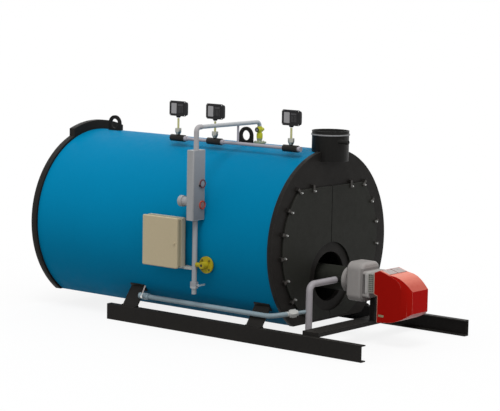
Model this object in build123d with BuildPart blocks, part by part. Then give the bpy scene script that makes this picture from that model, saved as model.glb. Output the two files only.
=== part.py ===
from build123d import *
import math
import os

os.makedirs("parts", exist_ok=True)

# Packaged three-pass shell boiler on a channel skid, with its burner, gas line,
# water column and steam fittings. All sizes are in millimetres.
# Local directions: the burner end is -Y, the fittings side is -X, up is +Z.
# Lengths along Y count from the shell's front edge, and along X from its axis.

# Clearance left where one piece seats on another
seat_gap = 0.3

# Boiler body
shell_r = 810.0
shell_len = 2680.0
skin_t = 3.0
base_z = 132.0
base_flat = 152.0
insulation_t = 170.0
vessel_t = 12.0
vessel_gap = 30.0
axis_z = base_z + shell_r - base_flat
crown_z = axis_z + shell_r
vessel_r = shell_r - insulation_t

# Front plate
plate_lap = 12.0
plate_depth = 42.0
plate_t = 12.0
plate_rim = 20.0
plate_r = shell_r + plate_lap

# Door leaves with their clamps
door_in = 142.0
door_t = 18.0
door_top_over = 24.0
door_low = 28.0
door_split = 4.0
door_hole_r = 300.0
clamp_in = 17.0
clamp_r = 11.0
clamp_h = 22.0
top_nut_x = 270.0
top_nut_in = 22.0
lug_w = 34.0
lug_l = 30.0
lug_h = 24.0
lug_gap = 3.0
clamp_angles = (46.5, 29.3, 12.0, -5.0, -22.3, -39.6)
door_r = plate_r - door_in
clamp_pcr = door_r - clamp_in
lug_r = door_r + lug_gap + lug_l / 2
door_top_z = axis_z + clamp_pcr * math.sin(math.radians(clamp_angles[0])) + door_top_over
door_low_z = base_z + door_low

# Furnace
burner_up = 377.0
mouth_r = 215.0
furnace_r = 250.0
furnace_t = 10.0
turn_len = 430.0
burner_z = base_z + burner_up
furnace_len = shell_len - turn_len

# Rear end
ring_lap = 20.0
ring_depth = 62.0
ring_wall = 34.0
rear_plate_t = 10.0
hood_rise = 63.0
hood_half_angle = 22.1
ring_r = shell_r + ring_lap
hood_r = ring_r + hood_rise

# Skid
beam_h = 140.0
beam_flange = 60.0
beam_web_t = 7.0
beam_flange_t = 10.0
beam_in = 7.0
beam_front_y = -971.0
beam_rear_in = 865.0
beam_outer_x = shell_r - beam_in
beam_rear_y = shell_len - beam_rear_in

# Saddle legs
leg_w = 166.0
leg_t = 14.0
leg_top_angle = 36.9
leg_foot_in = 34.0
leg_foot_w = 52.0
leg_foot_t = 10.0
leg_pad_t = 10.0
leg_pad_len = 75.0
leg_front_y = 82.0
leg_rear_in = 1192.0
leg_foot_x = beam_outer_x - leg_foot_in
leg_rear_y = shell_len - leg_rear_in

# Burner cross-beam and post
cross_in = 38.0
cross_front_y = -510.0
cross_w = 165.0
cross_h = 36.0
cross_t = 6.0
post_x = 35.0
post_y = -496.0
post_w = 50.0
post_t = 4.0
post_round = 6.0
cross_half = beam_outer_x - cross_in

# Blast tube and the boss that clamps it
tube_r = 105.0
tube_wall = 5.0
tube_inner_y = 260.0
boss_lap = 5.0
boss_rear_y = -250.0
boss_front_y = -296.0
boss_bevel = 4.0
neck_in = 14.0
boss_r = tube_r + boss_lap

# Fan housing and its throat, heights from the burner's axis
housing_half_w = 130.0
housing_top = 172.0
housing_low = 163.0
housing_round = 62.0
housing_bevel = 28.0
housing_rear_y = -306.0
housing_front_y = -450.0
throat_inset = 8.0
throat_top = 105.0
throat_low = 117.0
throat_step_y = -550.0
throat_end_low = 79.0
throat_round = 20.0
throat_front_y = -620.0
throat_half_w = housing_half_w - throat_inset

# Cowl: depths forward of the throat, heights from the burner's axis
cowl_half_w = 142.0
cowl_len = 372.0
cowl_back_up = 120.0
cowl_peak_y = 70.0
cowl_peak_up = 139.0
cowl_nose_down = 14.0
cowl_nose_r = 450.0
cowl_chin_down = 201.0
cowl_belly_y = 171.0
cowl_belly_down = 294.0
cowl_belly_r = 504.0
cowl_heel_y = 34.0
cowl_heel_down = 308.0
cowl_step_down = 82.0
cowl_back_down = 69.0
cowl_round = 24.0
cowl_corner_len = 38.0
cowl_corner_in = 27.0
front_end_y = throat_front_y - cowl_len

# Gas line
riser_x = -500.0
riser_y = -210.0
riser_r = 29.0
riser_bend = 60.0
riser_low_z = 100.0
riser_up = 4.0
gas_r = 21.2
gas_z = 243.0
gas_turn_y = 25.0
gas_bend = 150.0
gas_join_z = 286.0
union_from = 92.0
thin_r = 16.0
union_tip_r = 25.0
union_tip_len = 17.0
union_hex_r = 38.0
union_hex_len = 44.0
union_collar_r = 33.0
union_collar_len = 14.0

# Gas valve and its lever
valve_gap = 2.0
valve_len = 110.0
valve_r = 30.0
valve_end_t = 6.0
valve_body_share = 0.5
stem_out = 12.0
stem_out_r = 11.0
gas_bore_r = 19.5
port_depth = 24.0
lever_len = 85.0
lever_w = 9.0
lever_t = 5.0
lever_hub_r = 12.0
lever_lean = 24.0
gas_rear_y = leg_rear_y - valve_len - valve_gap

# Water column
column_y = 752.0
column_w = 156.0
column_d = 80.0
column_round = 14.0
column_up = 212.0
column_h = 598.0
sight_up = (310.0, 128.0)
sight_in = 38.0
sight_r = 37.0
sight_ring = 8.0
sight_depth = 10.0
sight_glass_t = 5.0
float_up = 152.0
float_out = 16.0
float_neck_r = 40.0
float_neck_len = 72.0
float_r = 48.0
float_len = 46.0
float_bevel = 8.0
column_low_z = axis_z + column_up
column_top_z = column_low_z + column_h
column_x = -(math.sqrt(shell_r ** 2 - column_up ** 2) + seat_gap + column_w / 2)

# Pipe over the column and the valve that it ends in
column_pipe_r = 22.0
top_pipe_r = 18.0
top_pipe_up = 192.0
top_pipe_bend = 38.0
sleeve_len = 24.0
safety_x = 0.0
safety_base_r = 46.0
safety_base_t = 20.0
safety_r = 21.0
safety_barrel_r = 22.0
safety_barrel_in = 29.0
safety_barrel_near = 36.0
safety_barrel_far = 30.0
safety_stub_r = 14.0
safety_stub_len = 22.0
top_pipe_z = max(column_top_z, crown_z) + top_pipe_up
safety_top_z = top_pipe_z - top_pipe_bend

# Column drain
drain_r = 22.0
drain_len = 535.0
drain_hex_r = 35.0
drain_hex_len = 56.0
drain_neck_r = 21.0
drain_neck_len = 51.0
drain_stem_r = 9.0
drain_stem_out = 12.0
drain_bore_r = 12.3
drain_lever_len = 85.0
drain_lever_w = 14.0
drain_lever_t = 4.0
drain_hub_r = 11.0
drain_low_z = column_low_z - drain_len
drain_mid_z = drain_low_z - drain_hex_len / 2
drain_end_z = drain_low_z - drain_hex_len - drain_neck_len

# Feed valve
feed_y = 660.0
feed_down = 172.0
feed_flange_r = 73.0
feed_flange_t = 16.0
feed_body_r = 30.0
feed_neck_r = 45.0
feed_pipe_r = 20.0
feed_z = axis_z - feed_down

# Steam manifold and pressure switches
mani_x = -300.0
mani_up = 77.5
mani_r = 15.0
tee_r = 30.0
tee_len = 155.0
bush_r = 22.0
bush_len = 28.0
branch_r = 10.0
switch_y = (1437.0, 1012.0, 170.0)
union_foot_r = 17.0
union_bowl_r = 28.0
union_bowl_h = 26.0
union_h = 57.0
stem_r = 9.5
stem_len = 89.0
socket_low_r = 14.0
socket_top_r = 25.0
socket_h = 20.0
switch_w = 148.0
switch_h = 134.0
switch_round = 16.0
switch_front_d = 44.0
switch_back_d = 50.0
switch_side_in = 3.0
switch_end_in = 7.0
mani_z = axis_z + math.sqrt(shell_r ** 2 - mani_x ** 2) + mani_up
stem_top_z = mani_z + tee_r + seat_gap + union_h + stem_len
switch_low_z = stem_top_z + seat_gap + socket_h

# Flue outlet
flue_r = 160.0
flue_wall = 6.0
flue_seat = 20.0
flue_y = -25.0
flue_up = 160.0
flue_drop = 100.0
flue_floor_t = 6.0
flue_ring_in = 28.0
flue_ring_h = 11.0
flue_ring_t = 7.0
probe_x = -65.0
probe_down = 85.0
probe_r = 18.0
probe_len = 76.0
plate_top_z = axis_z + plate_r
flue_top_z = plate_top_z + flue_up
bore_r = flue_r - flue_wall
passage_r = bore_r - flue_seat

# Lifting eyes
eye_front_y = 900.0
eye_rear_in = 204.0
eye_r = 76.0
eye_hole_r = 44.0
eye_t = 20.0
eye_up = 64.0
eye_z = crown_z + eye_up
eye_rear_y = shell_len - eye_rear_in

# Control box
box_y = 868.0
box_w = 396.0
box_h = 435.0
box_down = 215.0
box_stand = 150.0
box_cover_d = 24.0
box_body_d = 80.0
box_rear_d = 40.0
box_inset = 9.0
box_wall = 3.0
box_corner = 12.0
cover_gap = 1.0
cover_bevel = 6.0
box_bar_in = 90.0
box_bar_w = 40.0
box_bar_len = 300.0
rail_out = 85.0
rail_h = 20.0
rail_len = 430.0
hinge_r = 5.0
hinge_h = 26.0
hinge_in = 60.0
knob_in = 30.0
knob_r = 9.0
knob_h = 9.0
box_low_z = axis_z - box_down
box_face_x = -(shell_r + box_stand)

# The whole outline is centred on the origin, and the floor is at zero height.
reach_near = -box_face_x + knob_h
rear_end_y = shell_len + ring_depth
ax = (reach_near - ring_r) / 2
fy = -(front_end_y + rear_end_y) / 2


def across(y):
    # Plane across the boiler at y behind the shell's front edge, facing the burner end.
    return Plane(origin=(ax, fy + y, 0), x_dir=(1, 0, 0), z_dir=(0, -1, 0))


def along(x):
    # Upright plane along the boiler at x from its axis, facing the far side.
    return Plane(origin=(ax + x, fy, 0), x_dir=(0, 1, 0), z_dir=(1, 0, 0))


def level(z):
    # Level plane at height z, under the boiler's axis at the shell's front edge.
    return Plane(origin=(ax, fy, z), x_dir=(1, 0, 0), z_dir=(0, 0, 1))


def point(x, y, z):
    # A place on the boiler, as a point in the frame of the whole outline.
    return (ax + x, fy + y, z)


def side_x(z, r):
    # Sideways distance at height z to a circle of radius r about the boiler's axis.
    return math.sqrt(r * r - (z - axis_z) ** 2)


def flare(r_low, r_high, h):
    # Angle for drawing a circle of one radius up to another over height h.
    return -math.degrees(math.atan((r_high - r_low) / h))


# Skid beams: channels with their webs outward
def beam_profile(side):
    x0 = side * beam_outer_x
    w = -side * beam_flange
    t = -side * beam_web_t
    return [(x0, 0), (x0 + w, 0), (x0 + w, beam_flange_t), (x0 + t, beam_flange_t),
            (x0 + t, beam_h - beam_flange_t), (x0 + w, beam_h - beam_flange_t),
            (x0 + w, beam_h), (x0, beam_h)]


with BuildPart() as skid_beam_near:
    with BuildSketch(across(beam_front_y)):
        with BuildLine():
            Polyline(*beam_profile(-1), close=True)
        make_face()
    extrude(amount=beam_front_y - beam_rear_y)
skid_beam_near.part.label = "skid_beam_near"
export_step(skid_beam_near.part, "parts/skid_beam_near.step")

with BuildPart() as skid_beam_far:
    with BuildSketch(across(beam_front_y)):
        with BuildLine():
            Polyline(*beam_profile(1), close=True)
        make_face()
    extrude(amount=beam_front_y - beam_rear_y)
skid_beam_far.part.label = "skid_beam_far"
export_step(skid_beam_far.part, "parts/skid_beam_far.step")

# Cross-beam: a shallow channel lying flat on both skid beams, closed at its ends
with BuildPart() as burner_cross_beam:
    with BuildSketch(level(beam_h)):
        with Locations((0, cross_front_y + cross_w / 2)):
            Rectangle(2 * cross_half, cross_w)
    extrude(amount=cross_h)
    with BuildSketch(level(beam_h)):
        with Locations((0, cross_front_y + cross_w / 2)):
            Rectangle(2 * (cross_half - cross_t), cross_w - 2 * cross_t)
    extrude(amount=cross_h - cross_t, mode=Mode.SUBTRACT)
burner_cross_beam.part.label = "burner_cross_beam"
export_step(burner_cross_beam.part, "parts/burner_cross_beam.step")

# Post: a square tube from the cross-beam to the underside of the burner
with BuildPart() as burner_post:
    with BuildSketch(level(beam_h + cross_h)):
        with Locations((post_x, post_y)):
            RectangleRounded(post_w, post_w, post_round)
            RectangleRounded(post_w - 2 * post_t, post_w - 2 * post_t, post_round - post_t,
                             mode=Mode.SUBTRACT)
    extrude(amount=burner_z - throat_low - beam_h - cross_h)
burner_post.part.label = "burner_post"
export_step(burner_post.part, "parts/burner_post.step")


# Saddle legs: a foot on the beam, a slanted web and a pad rolled to the shell
pad_in = shell_r + seat_gap
pad_out = pad_in + leg_pad_t
pad_angle = math.radians(leg_top_angle)
leg_top = (pad_out * math.cos(pad_angle), axis_z - pad_out * math.sin(pad_angle))
leg_run = leg_foot_x - leg_top[0]
leg_rise = leg_top[1] - beam_h
leg_slope = math.hypot(leg_run, leg_rise)


def leg_x(z):
    # Distance from the axis of the middle of the leg's web at height z.
    return leg_foot_x - leg_run * (z - beam_h) / leg_rise


def saddle_leg(side, y_front):
    nx = leg_t / 2 * leg_rise / leg_slope
    nz = leg_t / 2 * leg_run / leg_slope
    over = leg_t / leg_slope
    low = (leg_foot_x + over * leg_run, beam_h - over * leg_rise)
    high = (leg_top[0] - over * leg_run / 3, leg_top[1] + over * leg_rise / 3)
    half = math.degrees(leg_pad_len / 2 / pad_out)
    mid = 180 + leg_top_angle if side < 0 else -leg_top_angle
    with BuildPart() as leg:
        with BuildSketch(across(y_front)):
            with BuildLine():
                Polyline((side * (low[0] + nx), low[1] + nz), (side * (high[0] + nx), high[1] + nz),
                         (side * (high[0] - nx), high[1] - nz), (side * (low[0] - nx), low[1] - nz),
                         close=True)
            make_face()
            with Locations((side * leg_foot_x, beam_h + leg_foot_t / 2)):
                Rectangle(leg_foot_w, leg_foot_t)
            with BuildLine():
                outer = CenterArc((0, axis_z), pad_out, mid - half, 2 * half)
                inner = CenterArc((0, axis_z), pad_in, mid - half, 2 * half)
                Line(outer @ 0, inner @ 0)
                Line(outer @ 1, inner @ 1)
            make_face()
            with Locations((side * leg_foot_x, beam_h - leg_w)):
                Rectangle(2 * leg_w, 2 * leg_w, mode=Mode.SUBTRACT)
            with Locations((0, axis_z)):
                Circle(pad_in, mode=Mode.SUBTRACT)
        extrude(amount=-leg_w)
    return leg


leg_front_near = saddle_leg(-1, leg_front_y)
leg_front_near.part.label = "leg_front_near"
export_step(leg_front_near.part, "parts/leg_front_near.step")
leg_front_far = saddle_leg(1, leg_front_y)
leg_front_far.part.label = "leg_front_far"
export_step(leg_front_far.part, "parts/leg_front_far.step")
leg_rear_near = saddle_leg(-1, leg_rear_y)
leg_rear_near.part.label = "leg_rear_near"
export_step(leg_rear_near.part, "parts/leg_rear_near.step")
leg_rear_far = saddle_leg(1, leg_rear_y)
leg_rear_far.part.label = "leg_rear_far"
export_step(leg_rear_far.part, "parts/leg_rear_far.step")


# Cladding: a rolled sheet, flat along the bottom and open under the flue
with BuildPart() as shell_cladding:
    with BuildSketch(across(0)):
        with Locations((0, axis_z)):
            Circle(shell_r)
        with Locations((0, base_z + shell_r)):
            Rectangle(2 * shell_r, 2 * shell_r, mode=Mode.INTERSECT)
        offset(amount=-skin_t, mode=Mode.SUBTRACT)
    extrude(amount=-shell_len)
    with BuildSketch(level(plate_top_z - flue_drop)):
        with Locations((0, flue_y)):
            Circle(passage_r)
    extrude(amount=flue_drop, mode=Mode.SUBTRACT)
shell_cladding.part.label = "shell_cladding"
export_step(shell_cladding.part, "parts/shell_cladding.step")

# Front plate: a rimmed disc with the furnace mouth, the way into the flue and the lugs
# of the door clamps
with BuildPart() as front_plate:
    with BuildSketch(across(-plate_depth)):
        with Locations((0, axis_z)):
            Circle(plate_r)
        with Locations((0, base_z + plate_r)):
            Rectangle(2 * plate_r, 2 * plate_r, mode=Mode.INTERSECT)
    extrude(amount=-plate_depth)
    with BuildSketch(across(-plate_depth + plate_t)):
        with Locations((0, axis_z)):
            Circle(plate_r - plate_rim)
        with Locations((0, base_z + plate_rim + plate_r)):
            Rectangle(2 * plate_r, 2 * plate_r, mode=Mode.INTERSECT)
        with Locations((0, burner_z)):
            Circle(furnace_r, mode=Mode.SUBTRACT)
    extrude(amount=plate_t - plate_depth, mode=Mode.SUBTRACT)
    with BuildSketch(across(-plate_depth)):
        with Locations((0, burner_z)):
            Circle(mouth_r)
    extrude(amount=-plate_depth, mode=Mode.SUBTRACT)
    with BuildSketch(level(plate_top_z - flue_drop + flue_floor_t)):
        with Locations((0, flue_y)):
            Circle(passage_r)
    extrude(amount=flue_drop, mode=Mode.SUBTRACT)
    with BuildSketch(across(-plate_depth)):
        for side in (-1, 1):
            for a in clamp_angles:
                r = math.radians(a)
                with Locations(Location((side * lug_r * math.cos(r), axis_z + lug_r * math.sin(r), 0),
                                        (0, 0, side * a))):
                    Rectangle(lug_l, lug_w)
            with Locations((side * top_nut_x, door_top_z + lug_gap + lug_l / 2)):
                Rectangle(lug_w, lug_l)
    extrude(amount=lug_h)
front_plate.part.label = "front_plate"
export_step(front_plate.part, "parts/front_plate.step")


def door_leaf(side):
    with BuildPart() as leaf:
        with BuildSketch(across(-plate_depth)):
            with Locations((0, axis_z)):
                Circle(door_r)
            with Locations((0, (door_top_z + door_low_z) / 2)):
                Rectangle(2 * door_r, door_top_z - door_low_z, mode=Mode.INTERSECT)
            with Locations((side * (door_r + door_split / 2), axis_z)):
                Rectangle(2 * door_r, 2 * door_r, mode=Mode.INTERSECT)
            with Locations((0, burner_z)):
                Circle(door_hole_r, mode=Mode.SUBTRACT)
        extrude(amount=door_t)
        with BuildSketch(across(-plate_depth - door_t)):
            for a in clamp_angles:
                r = math.radians(a)
                with Locations((side * clamp_pcr * math.cos(r), axis_z + clamp_pcr * math.sin(r))):
                    RegularPolygon(clamp_r, 6)
            with Locations((side * top_nut_x, door_top_z - top_nut_in)):
                RegularPolygon(clamp_r, 6)
        extrude(amount=clamp_h)
    return leaf


door_near = door_leaf(-1)
door_near.part.label = "door_near"
export_step(door_near.part, "parts/door_near.step")
door_far = door_leaf(1)
door_far.part.label = "door_far"
export_step(door_far.part, "parts/door_far.step")

# Pressure vessel and furnace inside the cladding
with BuildPart() as pressure_vessel:
    with BuildSketch(across(vessel_gap)):
        with Locations((0, axis_z)):
            Circle(vessel_r)
    extrude(amount=2 * vessel_gap - shell_len)
    with BuildSketch(across(vessel_gap + vessel_t)):
        with Locations((0, axis_z)):
            Circle(vessel_r - vessel_t)
    extrude(amount=2 * (vessel_gap + vessel_t) - shell_len, mode=Mode.SUBTRACT)
    with BuildSketch(across(vessel_gap)):
        with Locations((0, burner_z)):
            Circle(furnace_r + seat_gap)
    extrude(amount=-2 * vessel_t, mode=Mode.SUBTRACT)
pressure_vessel.part.label = "pressure_vessel"
export_step(pressure_vessel.part, "parts/pressure_vessel.step")

with BuildPart() as furnace_tube:
    with BuildSketch(across(0)):
        with Locations((0, burner_z)):
            Circle(furnace_r)
    extrude(amount=-furnace_len)
    with BuildSketch(across(0)):
        with Locations((0, burner_z)):
            Circle(furnace_r - furnace_t)
    extrude(amount=-furnace_len + furnace_t, mode=Mode.SUBTRACT)
furnace_tube.part.label = "furnace_tube"
export_step(furnace_tube.part, "parts/furnace_tube.step")

# Rear end: rim with its raised hood, and the end plate
with BuildPart() as rear_ring:
    hood_x = hood_r * math.sin(math.radians(hood_half_angle))
    with BuildSketch(across(shell_len)):
        with Locations((0, axis_z)):
            Circle(hood_r)
        with Locations((0, axis_z + hood_r)):
            Rectangle(2 * hood_x, 2 * hood_r, mode=Mode.INTERSECT)
        with Locations((0, axis_z)):
            Circle(ring_r)
        with Locations((0, base_z + hood_r)):
            Rectangle(2 * hood_r, 2 * hood_r, mode=Mode.INTERSECT)
    extrude(amount=-ring_depth)
    with BuildSketch(across(shell_len)):
        with Locations((0, axis_z)):
            Circle(ring_r - ring_wall)
        with Locations((0, base_z + ring_wall + ring_r)):
            Rectangle(2 * ring_r, 2 * ring_r, mode=Mode.INTERSECT)
    extrude(amount=-ring_depth, mode=Mode.SUBTRACT)
rear_ring.part.label = "rear_ring"
export_step(rear_ring.part, "parts/rear_ring.step")

with BuildPart() as rear_plate:
    with BuildSketch(across(shell_len)):
        with Locations((0, axis_z)):
            Circle(ring_r - ring_wall - seat_gap)
        with Locations((0, base_z + ring_wall + seat_gap + ring_r)):
            Rectangle(2 * ring_r, 2 * ring_r, mode=Mode.INTERSECT)
    extrude(amount=-rear_plate_t)
rear_plate.part.label = "rear_plate"
export_step(rear_plate.part, "parts/rear_plate.step")


# Lifting eyes: plate rings standing along the crown
def lifting_eye(y):
    with BuildPart() as eye:
        with BuildSketch(along(-eye_t / 2)):
            with Locations((y, eye_z)):
                Circle(eye_r)
            with Locations((y, (crown_z + eye_z) / 2)):
                Rectangle(2 * eye_r, eye_z - crown_z)
            with Locations((y, crown_z - eye_r)):
                Rectangle(4 * eye_r, 2 * eye_r, mode=Mode.SUBTRACT)
            with Locations((y, eye_z)):
                Circle(eye_hole_r, mode=Mode.SUBTRACT)
        extrude(amount=eye_t)
    return eye


lifting_eye_rear = lifting_eye(eye_rear_y)
lifting_eye_rear.part.label = "lifting_eye_rear"
export_step(lifting_eye_rear.part, "parts/lifting_eye_rear.step")
lifting_eye_front = lifting_eye(eye_front_y)
lifting_eye_front.part.label = "lifting_eye_front"
export_step(lifting_eye_front.part, "parts/lifting_eye_front.step")

# Flue outlet: a stub on the crown, its front half hanging before the front plate, with
# a seat inside for the flue pipe, a ring under its rim and a pocket for a thermometer
with BuildPart() as flue_outlet:
    with BuildSketch(level(plate_top_z - flue_drop)):
        with Locations((0, flue_y)):
            Circle(flue_r)
    extrude(amount=flue_drop + flue_up)
    with BuildSketch(level(flue_top_z - flue_ring_in - flue_ring_h)):
        with Locations((0, flue_y)):
            Circle(flue_r + flue_ring_t)
    extrude(amount=flue_ring_h)
    with BuildSketch(across(flue_y - flue_r - probe_len)):
        with Locations((probe_x, flue_top_z - probe_down)):
            Circle(probe_r)
    extrude(amount=-probe_len - flue_r)
    with BuildSketch(level(plate_top_z)):
        with Locations((0, flue_y)):
            Circle(bore_r)
    extrude(amount=flue_up, mode=Mode.SUBTRACT)
    with BuildSketch(level(plate_top_z - flue_drop + flue_floor_t)):
        with Locations((0, flue_y)):
            Circle(passage_r)
    extrude(amount=flue_drop, mode=Mode.SUBTRACT)
    with BuildSketch(across(-plate_depth - seat_gap)):
        with Locations((0, axis_z)):
            Circle(plate_r + seat_gap)
    extrude(amount=-plate_depth - 2 * seat_gap, mode=Mode.SUBTRACT)
    with BuildSketch(across(0)):
        with Locations((0, axis_z)):
            Circle(shell_r + seat_gap)
    extrude(amount=-2 * flue_r, mode=Mode.SUBTRACT)
flue_outlet.part.label = "flue_outlet"
export_step(flue_outlet.part, "parts/flue_outlet.step")

# Burner: blast tube, housing with its boss and throat, and the cowl
with BuildPart() as blast_tube:
    with BuildSketch(across(boss_rear_y)):
        with Locations((0, burner_z)):
            Circle(tube_r)
            Circle(tube_r - tube_wall, mode=Mode.SUBTRACT)
    extrude(amount=boss_rear_y - tube_inner_y)
blast_tube.part.label = "blast_tube"
export_step(blast_tube.part, "parts/blast_tube.step")

with BuildPart() as burner_housing:
    with BuildSketch(across(housing_front_y)):
        with Locations((0, burner_z + (housing_top - housing_low) / 2)):
            RectangleRounded(2 * housing_half_w, housing_top + housing_low, housing_round)
    extrude(amount=housing_front_y - housing_rear_y)
    chamfer(burner_housing.faces().sort_by(Axis.Y)[-1].edges(), housing_bevel)
    with BuildSketch(across(throat_step_y)):
        with Locations((0, burner_z + (throat_top - throat_low) / 2)):
            RectangleRounded(2 * throat_half_w, throat_top + throat_low, throat_round)
    extrude(amount=throat_step_y - housing_front_y)
    with BuildSketch(across(throat_front_y)):
        with Locations((0, burner_z + (throat_top - throat_end_low) / 2)):
            RectangleRounded(2 * throat_half_w, throat_top + throat_end_low, throat_round)
    extrude(amount=throat_front_y - throat_step_y)
    with BuildSketch(across(boss_front_y)):
        with Locations((0, burner_z)):
            Circle(boss_r)
    extrude(amount=boss_front_y - boss_rear_y)
    chamfer(burner_housing.faces().sort_by(Axis.Y)[-1].edges(), boss_bevel)
    with BuildSketch(across(housing_rear_y)):
        with Locations((0, burner_z)):
            Circle(boss_r - neck_in)
    extrude(amount=housing_rear_y - boss_front_y)
burner_housing.part.label = "burner_housing"
export_step(burner_housing.part, "parts/burner_housing.step")

with BuildPart() as burner_cowl:
    back_y = throat_front_y - seat_gap
    with BuildSketch(along(-cowl_half_w)):
        with BuildLine():
            top = Polyline((back_y, burner_z - cowl_back_down), (back_y, burner_z + cowl_back_up),
                           (throat_front_y - cowl_peak_y, burner_z + cowl_peak_up))
            nose = RadiusArc(top @ 1, (front_end_y, burner_z - cowl_nose_down), -cowl_nose_r)
            face = Line(nose @ 1, (front_end_y, burner_z - cowl_chin_down))
            belly = RadiusArc(face @ 1, (throat_front_y - cowl_belly_y, burner_z - cowl_belly_down),
                              -cowl_belly_r)
            Polyline(belly @ 1, (throat_front_y - cowl_heel_y, burner_z - cowl_heel_down),
                     (throat_front_y - cowl_heel_y, burner_z - cowl_step_down), top @ 0)
        make_face()
    extrude(amount=2 * cowl_half_w)
    side_edges = burner_cowl.faces().filter_by(Axis.X).edges()
    forward_edges = side_edges.filter_by(lambda e: e.center().Y < fy + throat_front_y - cowl_peak_y)
    fillet(forward_edges.filter_by(lambda e: e.center().Z > burner_z), cowl_round)
    with BuildSketch(level(burner_z - cowl_heel_down)):
        with BuildLine():
            Polyline((-cowl_half_w, back_y), (-cowl_half_w, front_end_y + cowl_corner_len),
                     (cowl_corner_in - cowl_half_w, front_end_y), (cowl_half_w - cowl_corner_in, front_end_y),
                     (cowl_half_w, front_end_y + cowl_corner_len), (cowl_half_w, back_y), close=True)
        make_face()
    extrude(amount=cowl_heel_down + cowl_peak_up, mode=Mode.INTERSECT)
burner_cowl.part.label = "burner_cowl"
export_step(burner_cowl.part, "parts/burner_cowl.step")

# Gas line: low pipe with its union, riser, and valve with its lever
gas_x = -leg_x(gas_z) - (leg_t / 2 + seat_gap + gas_r) * leg_slope / leg_rise
gas_turn = Vector(*point(gas_x, gas_turn_y, gas_z))
gas_join = Vector(*point(riser_x, riser_y, gas_join_z))
gas_dir = (gas_join - gas_turn).normalized()
union_len = union_collar_len + union_hex_len + union_tip_len
union_start = gas_join - gas_dir * (union_from + union_len)

with BuildPart() as gas_pipe:
    with BuildLine() as gas_path:
        FilletPolyline(point(gas_x, gas_rear_y, gas_z), gas_turn, union_start, radius=gas_bend)
    with BuildSketch(Plane(origin=gas_path.line @ 0, z_dir=gas_path.line % 0)):
        Circle(gas_r)
    sweep()
    with BuildSketch(Plane(origin=union_start, z_dir=gas_dir)):
        Circle(union_collar_r)
    extrude(amount=union_collar_len)
    with BuildSketch(Plane(origin=union_start, z_dir=gas_dir).offset(union_collar_len)):
        RegularPolygon(union_hex_r, 6)
    extrude(amount=union_hex_len)
    with BuildSketch(Plane(origin=union_start, z_dir=gas_dir).offset(union_collar_len + union_hex_len)):
        Circle(union_tip_r)
    extrude(amount=union_tip_len)
    with BuildSketch(Plane(origin=union_start, z_dir=gas_dir).offset(union_len)):
        Circle(thin_r)
    extrude(amount=union_from)
    with BuildSketch(level(gas_join_z - 2 * riser_r)):
        with Locations((riser_x, riser_y)):
            Circle(riser_r + seat_gap)
    extrude(amount=4 * riser_r, mode=Mode.SUBTRACT)
gas_pipe.part.label = "gas_pipe"
export_step(gas_pipe.part, "parts/gas_pipe.step")

with BuildPart() as gas_riser:
    with BuildLine() as riser_path:
        FilletPolyline(point(riser_x, riser_y, riser_low_z), point(riser_x, riser_y, burner_z + riser_up),
                       point(-tube_r / 2, riser_y, burner_z + riser_up), radius=riser_bend)
    with BuildSketch(Plane(origin=riser_path.line @ 0, z_dir=riser_path.line % 0)):
        Circle(riser_r)
    sweep()
    with BuildSketch(across(riser_y - 2 * riser_r)):
        with Locations((0, burner_z)):
            Circle(tube_r + seat_gap)
    extrude(amount=-4 * riser_r, mode=Mode.SUBTRACT)
gas_riser.part.label = "gas_riser"
export_step(gas_riser.part, "parts/gas_riser.step")

with BuildPart() as gas_valve:
    with BuildSketch(across(gas_rear_y)):
        with Locations((gas_x, gas_z)):
            Circle(gas_r + valve_end_t)
    extrude(amount=-valve_len)
    with BuildSketch(across(gas_rear_y + valve_len * (1 - valve_body_share) / 2)):
        with Locations((gas_x, gas_z)):
            RegularPolygon(valve_r, 8)
    extrude(amount=-valve_len * valve_body_share)
    with BuildSketch(along(gas_x - valve_r - stem_out)):
        with Locations((gas_rear_y + valve_len / 2, gas_z)):
            Circle(stem_out_r)
    extrude(amount=valve_r + stem_out)
    with BuildSketch(across(gas_rear_y + valve_len)):
        with Locations((gas_x, gas_z)):
            Circle(gas_bore_r)
    extrude(amount=port_depth, mode=Mode.SUBTRACT)
gas_valve.part.label = "gas_valve"
export_step(gas_valve.part, "parts/gas_valve.step")

with BuildPart() as gas_valve_lever:
    lever_x = gas_x - valve_r - stem_out - seat_gap - lever_t
    lean = math.radians(lever_lean)
    with BuildSketch(along(lever_x)):
        with Locations((gas_rear_y + valve_len / 2, gas_z)):
            Circle(lever_hub_r)
        with Locations(Location((gas_rear_y + valve_len / 2 - lever_len / 2 * math.sin(lean),
                                 gas_z + lever_len / 2 * math.cos(lean), 0), (0, 0, lever_lean))):
            Rectangle(lever_w, lever_len)
    extrude(amount=lever_t)
gas_valve_lever.part.label = "gas_valve_lever"
export_step(gas_valve_lever.part, "parts/gas_valve_lever.step")

# Water column with its pipes, sight ports and float chamber
with BuildPart() as water_column:
    with BuildSketch(level(column_low_z)):
        with Locations((column_x, column_y)):
            RectangleRounded(column_w, column_d, column_round)
    extrude(amount=column_h)
water_column.part.label = "water_column"
export_step(water_column.part, "parts/water_column.step")


def sight_port(z):
    with BuildPart() as port:
        with BuildSketch(across(column_y - column_d / 2 - seat_gap)):
            with Locations((column_x + sight_in, z)):
                Circle(sight_r)
        extrude(amount=sight_depth)
        with BuildSketch(across(column_y - column_d / 2 - seat_gap - sight_glass_t)):
            with Locations((column_x + sight_in, z)):
                Circle(sight_r - sight_ring)
        extrude(amount=sight_depth, mode=Mode.SUBTRACT)
    return port


sight_port_upper = sight_port(column_low_z + sight_up[0])
sight_port_upper.part.label = "sight_port_upper"
export_step(sight_port_upper.part, "parts/sight_port_upper.step")
sight_port_lower = sight_port(column_low_z + sight_up[1])
sight_port_lower.part.label = "sight_port_lower"
export_step(sight_port_lower.part, "parts/sight_port_lower.step")

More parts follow.
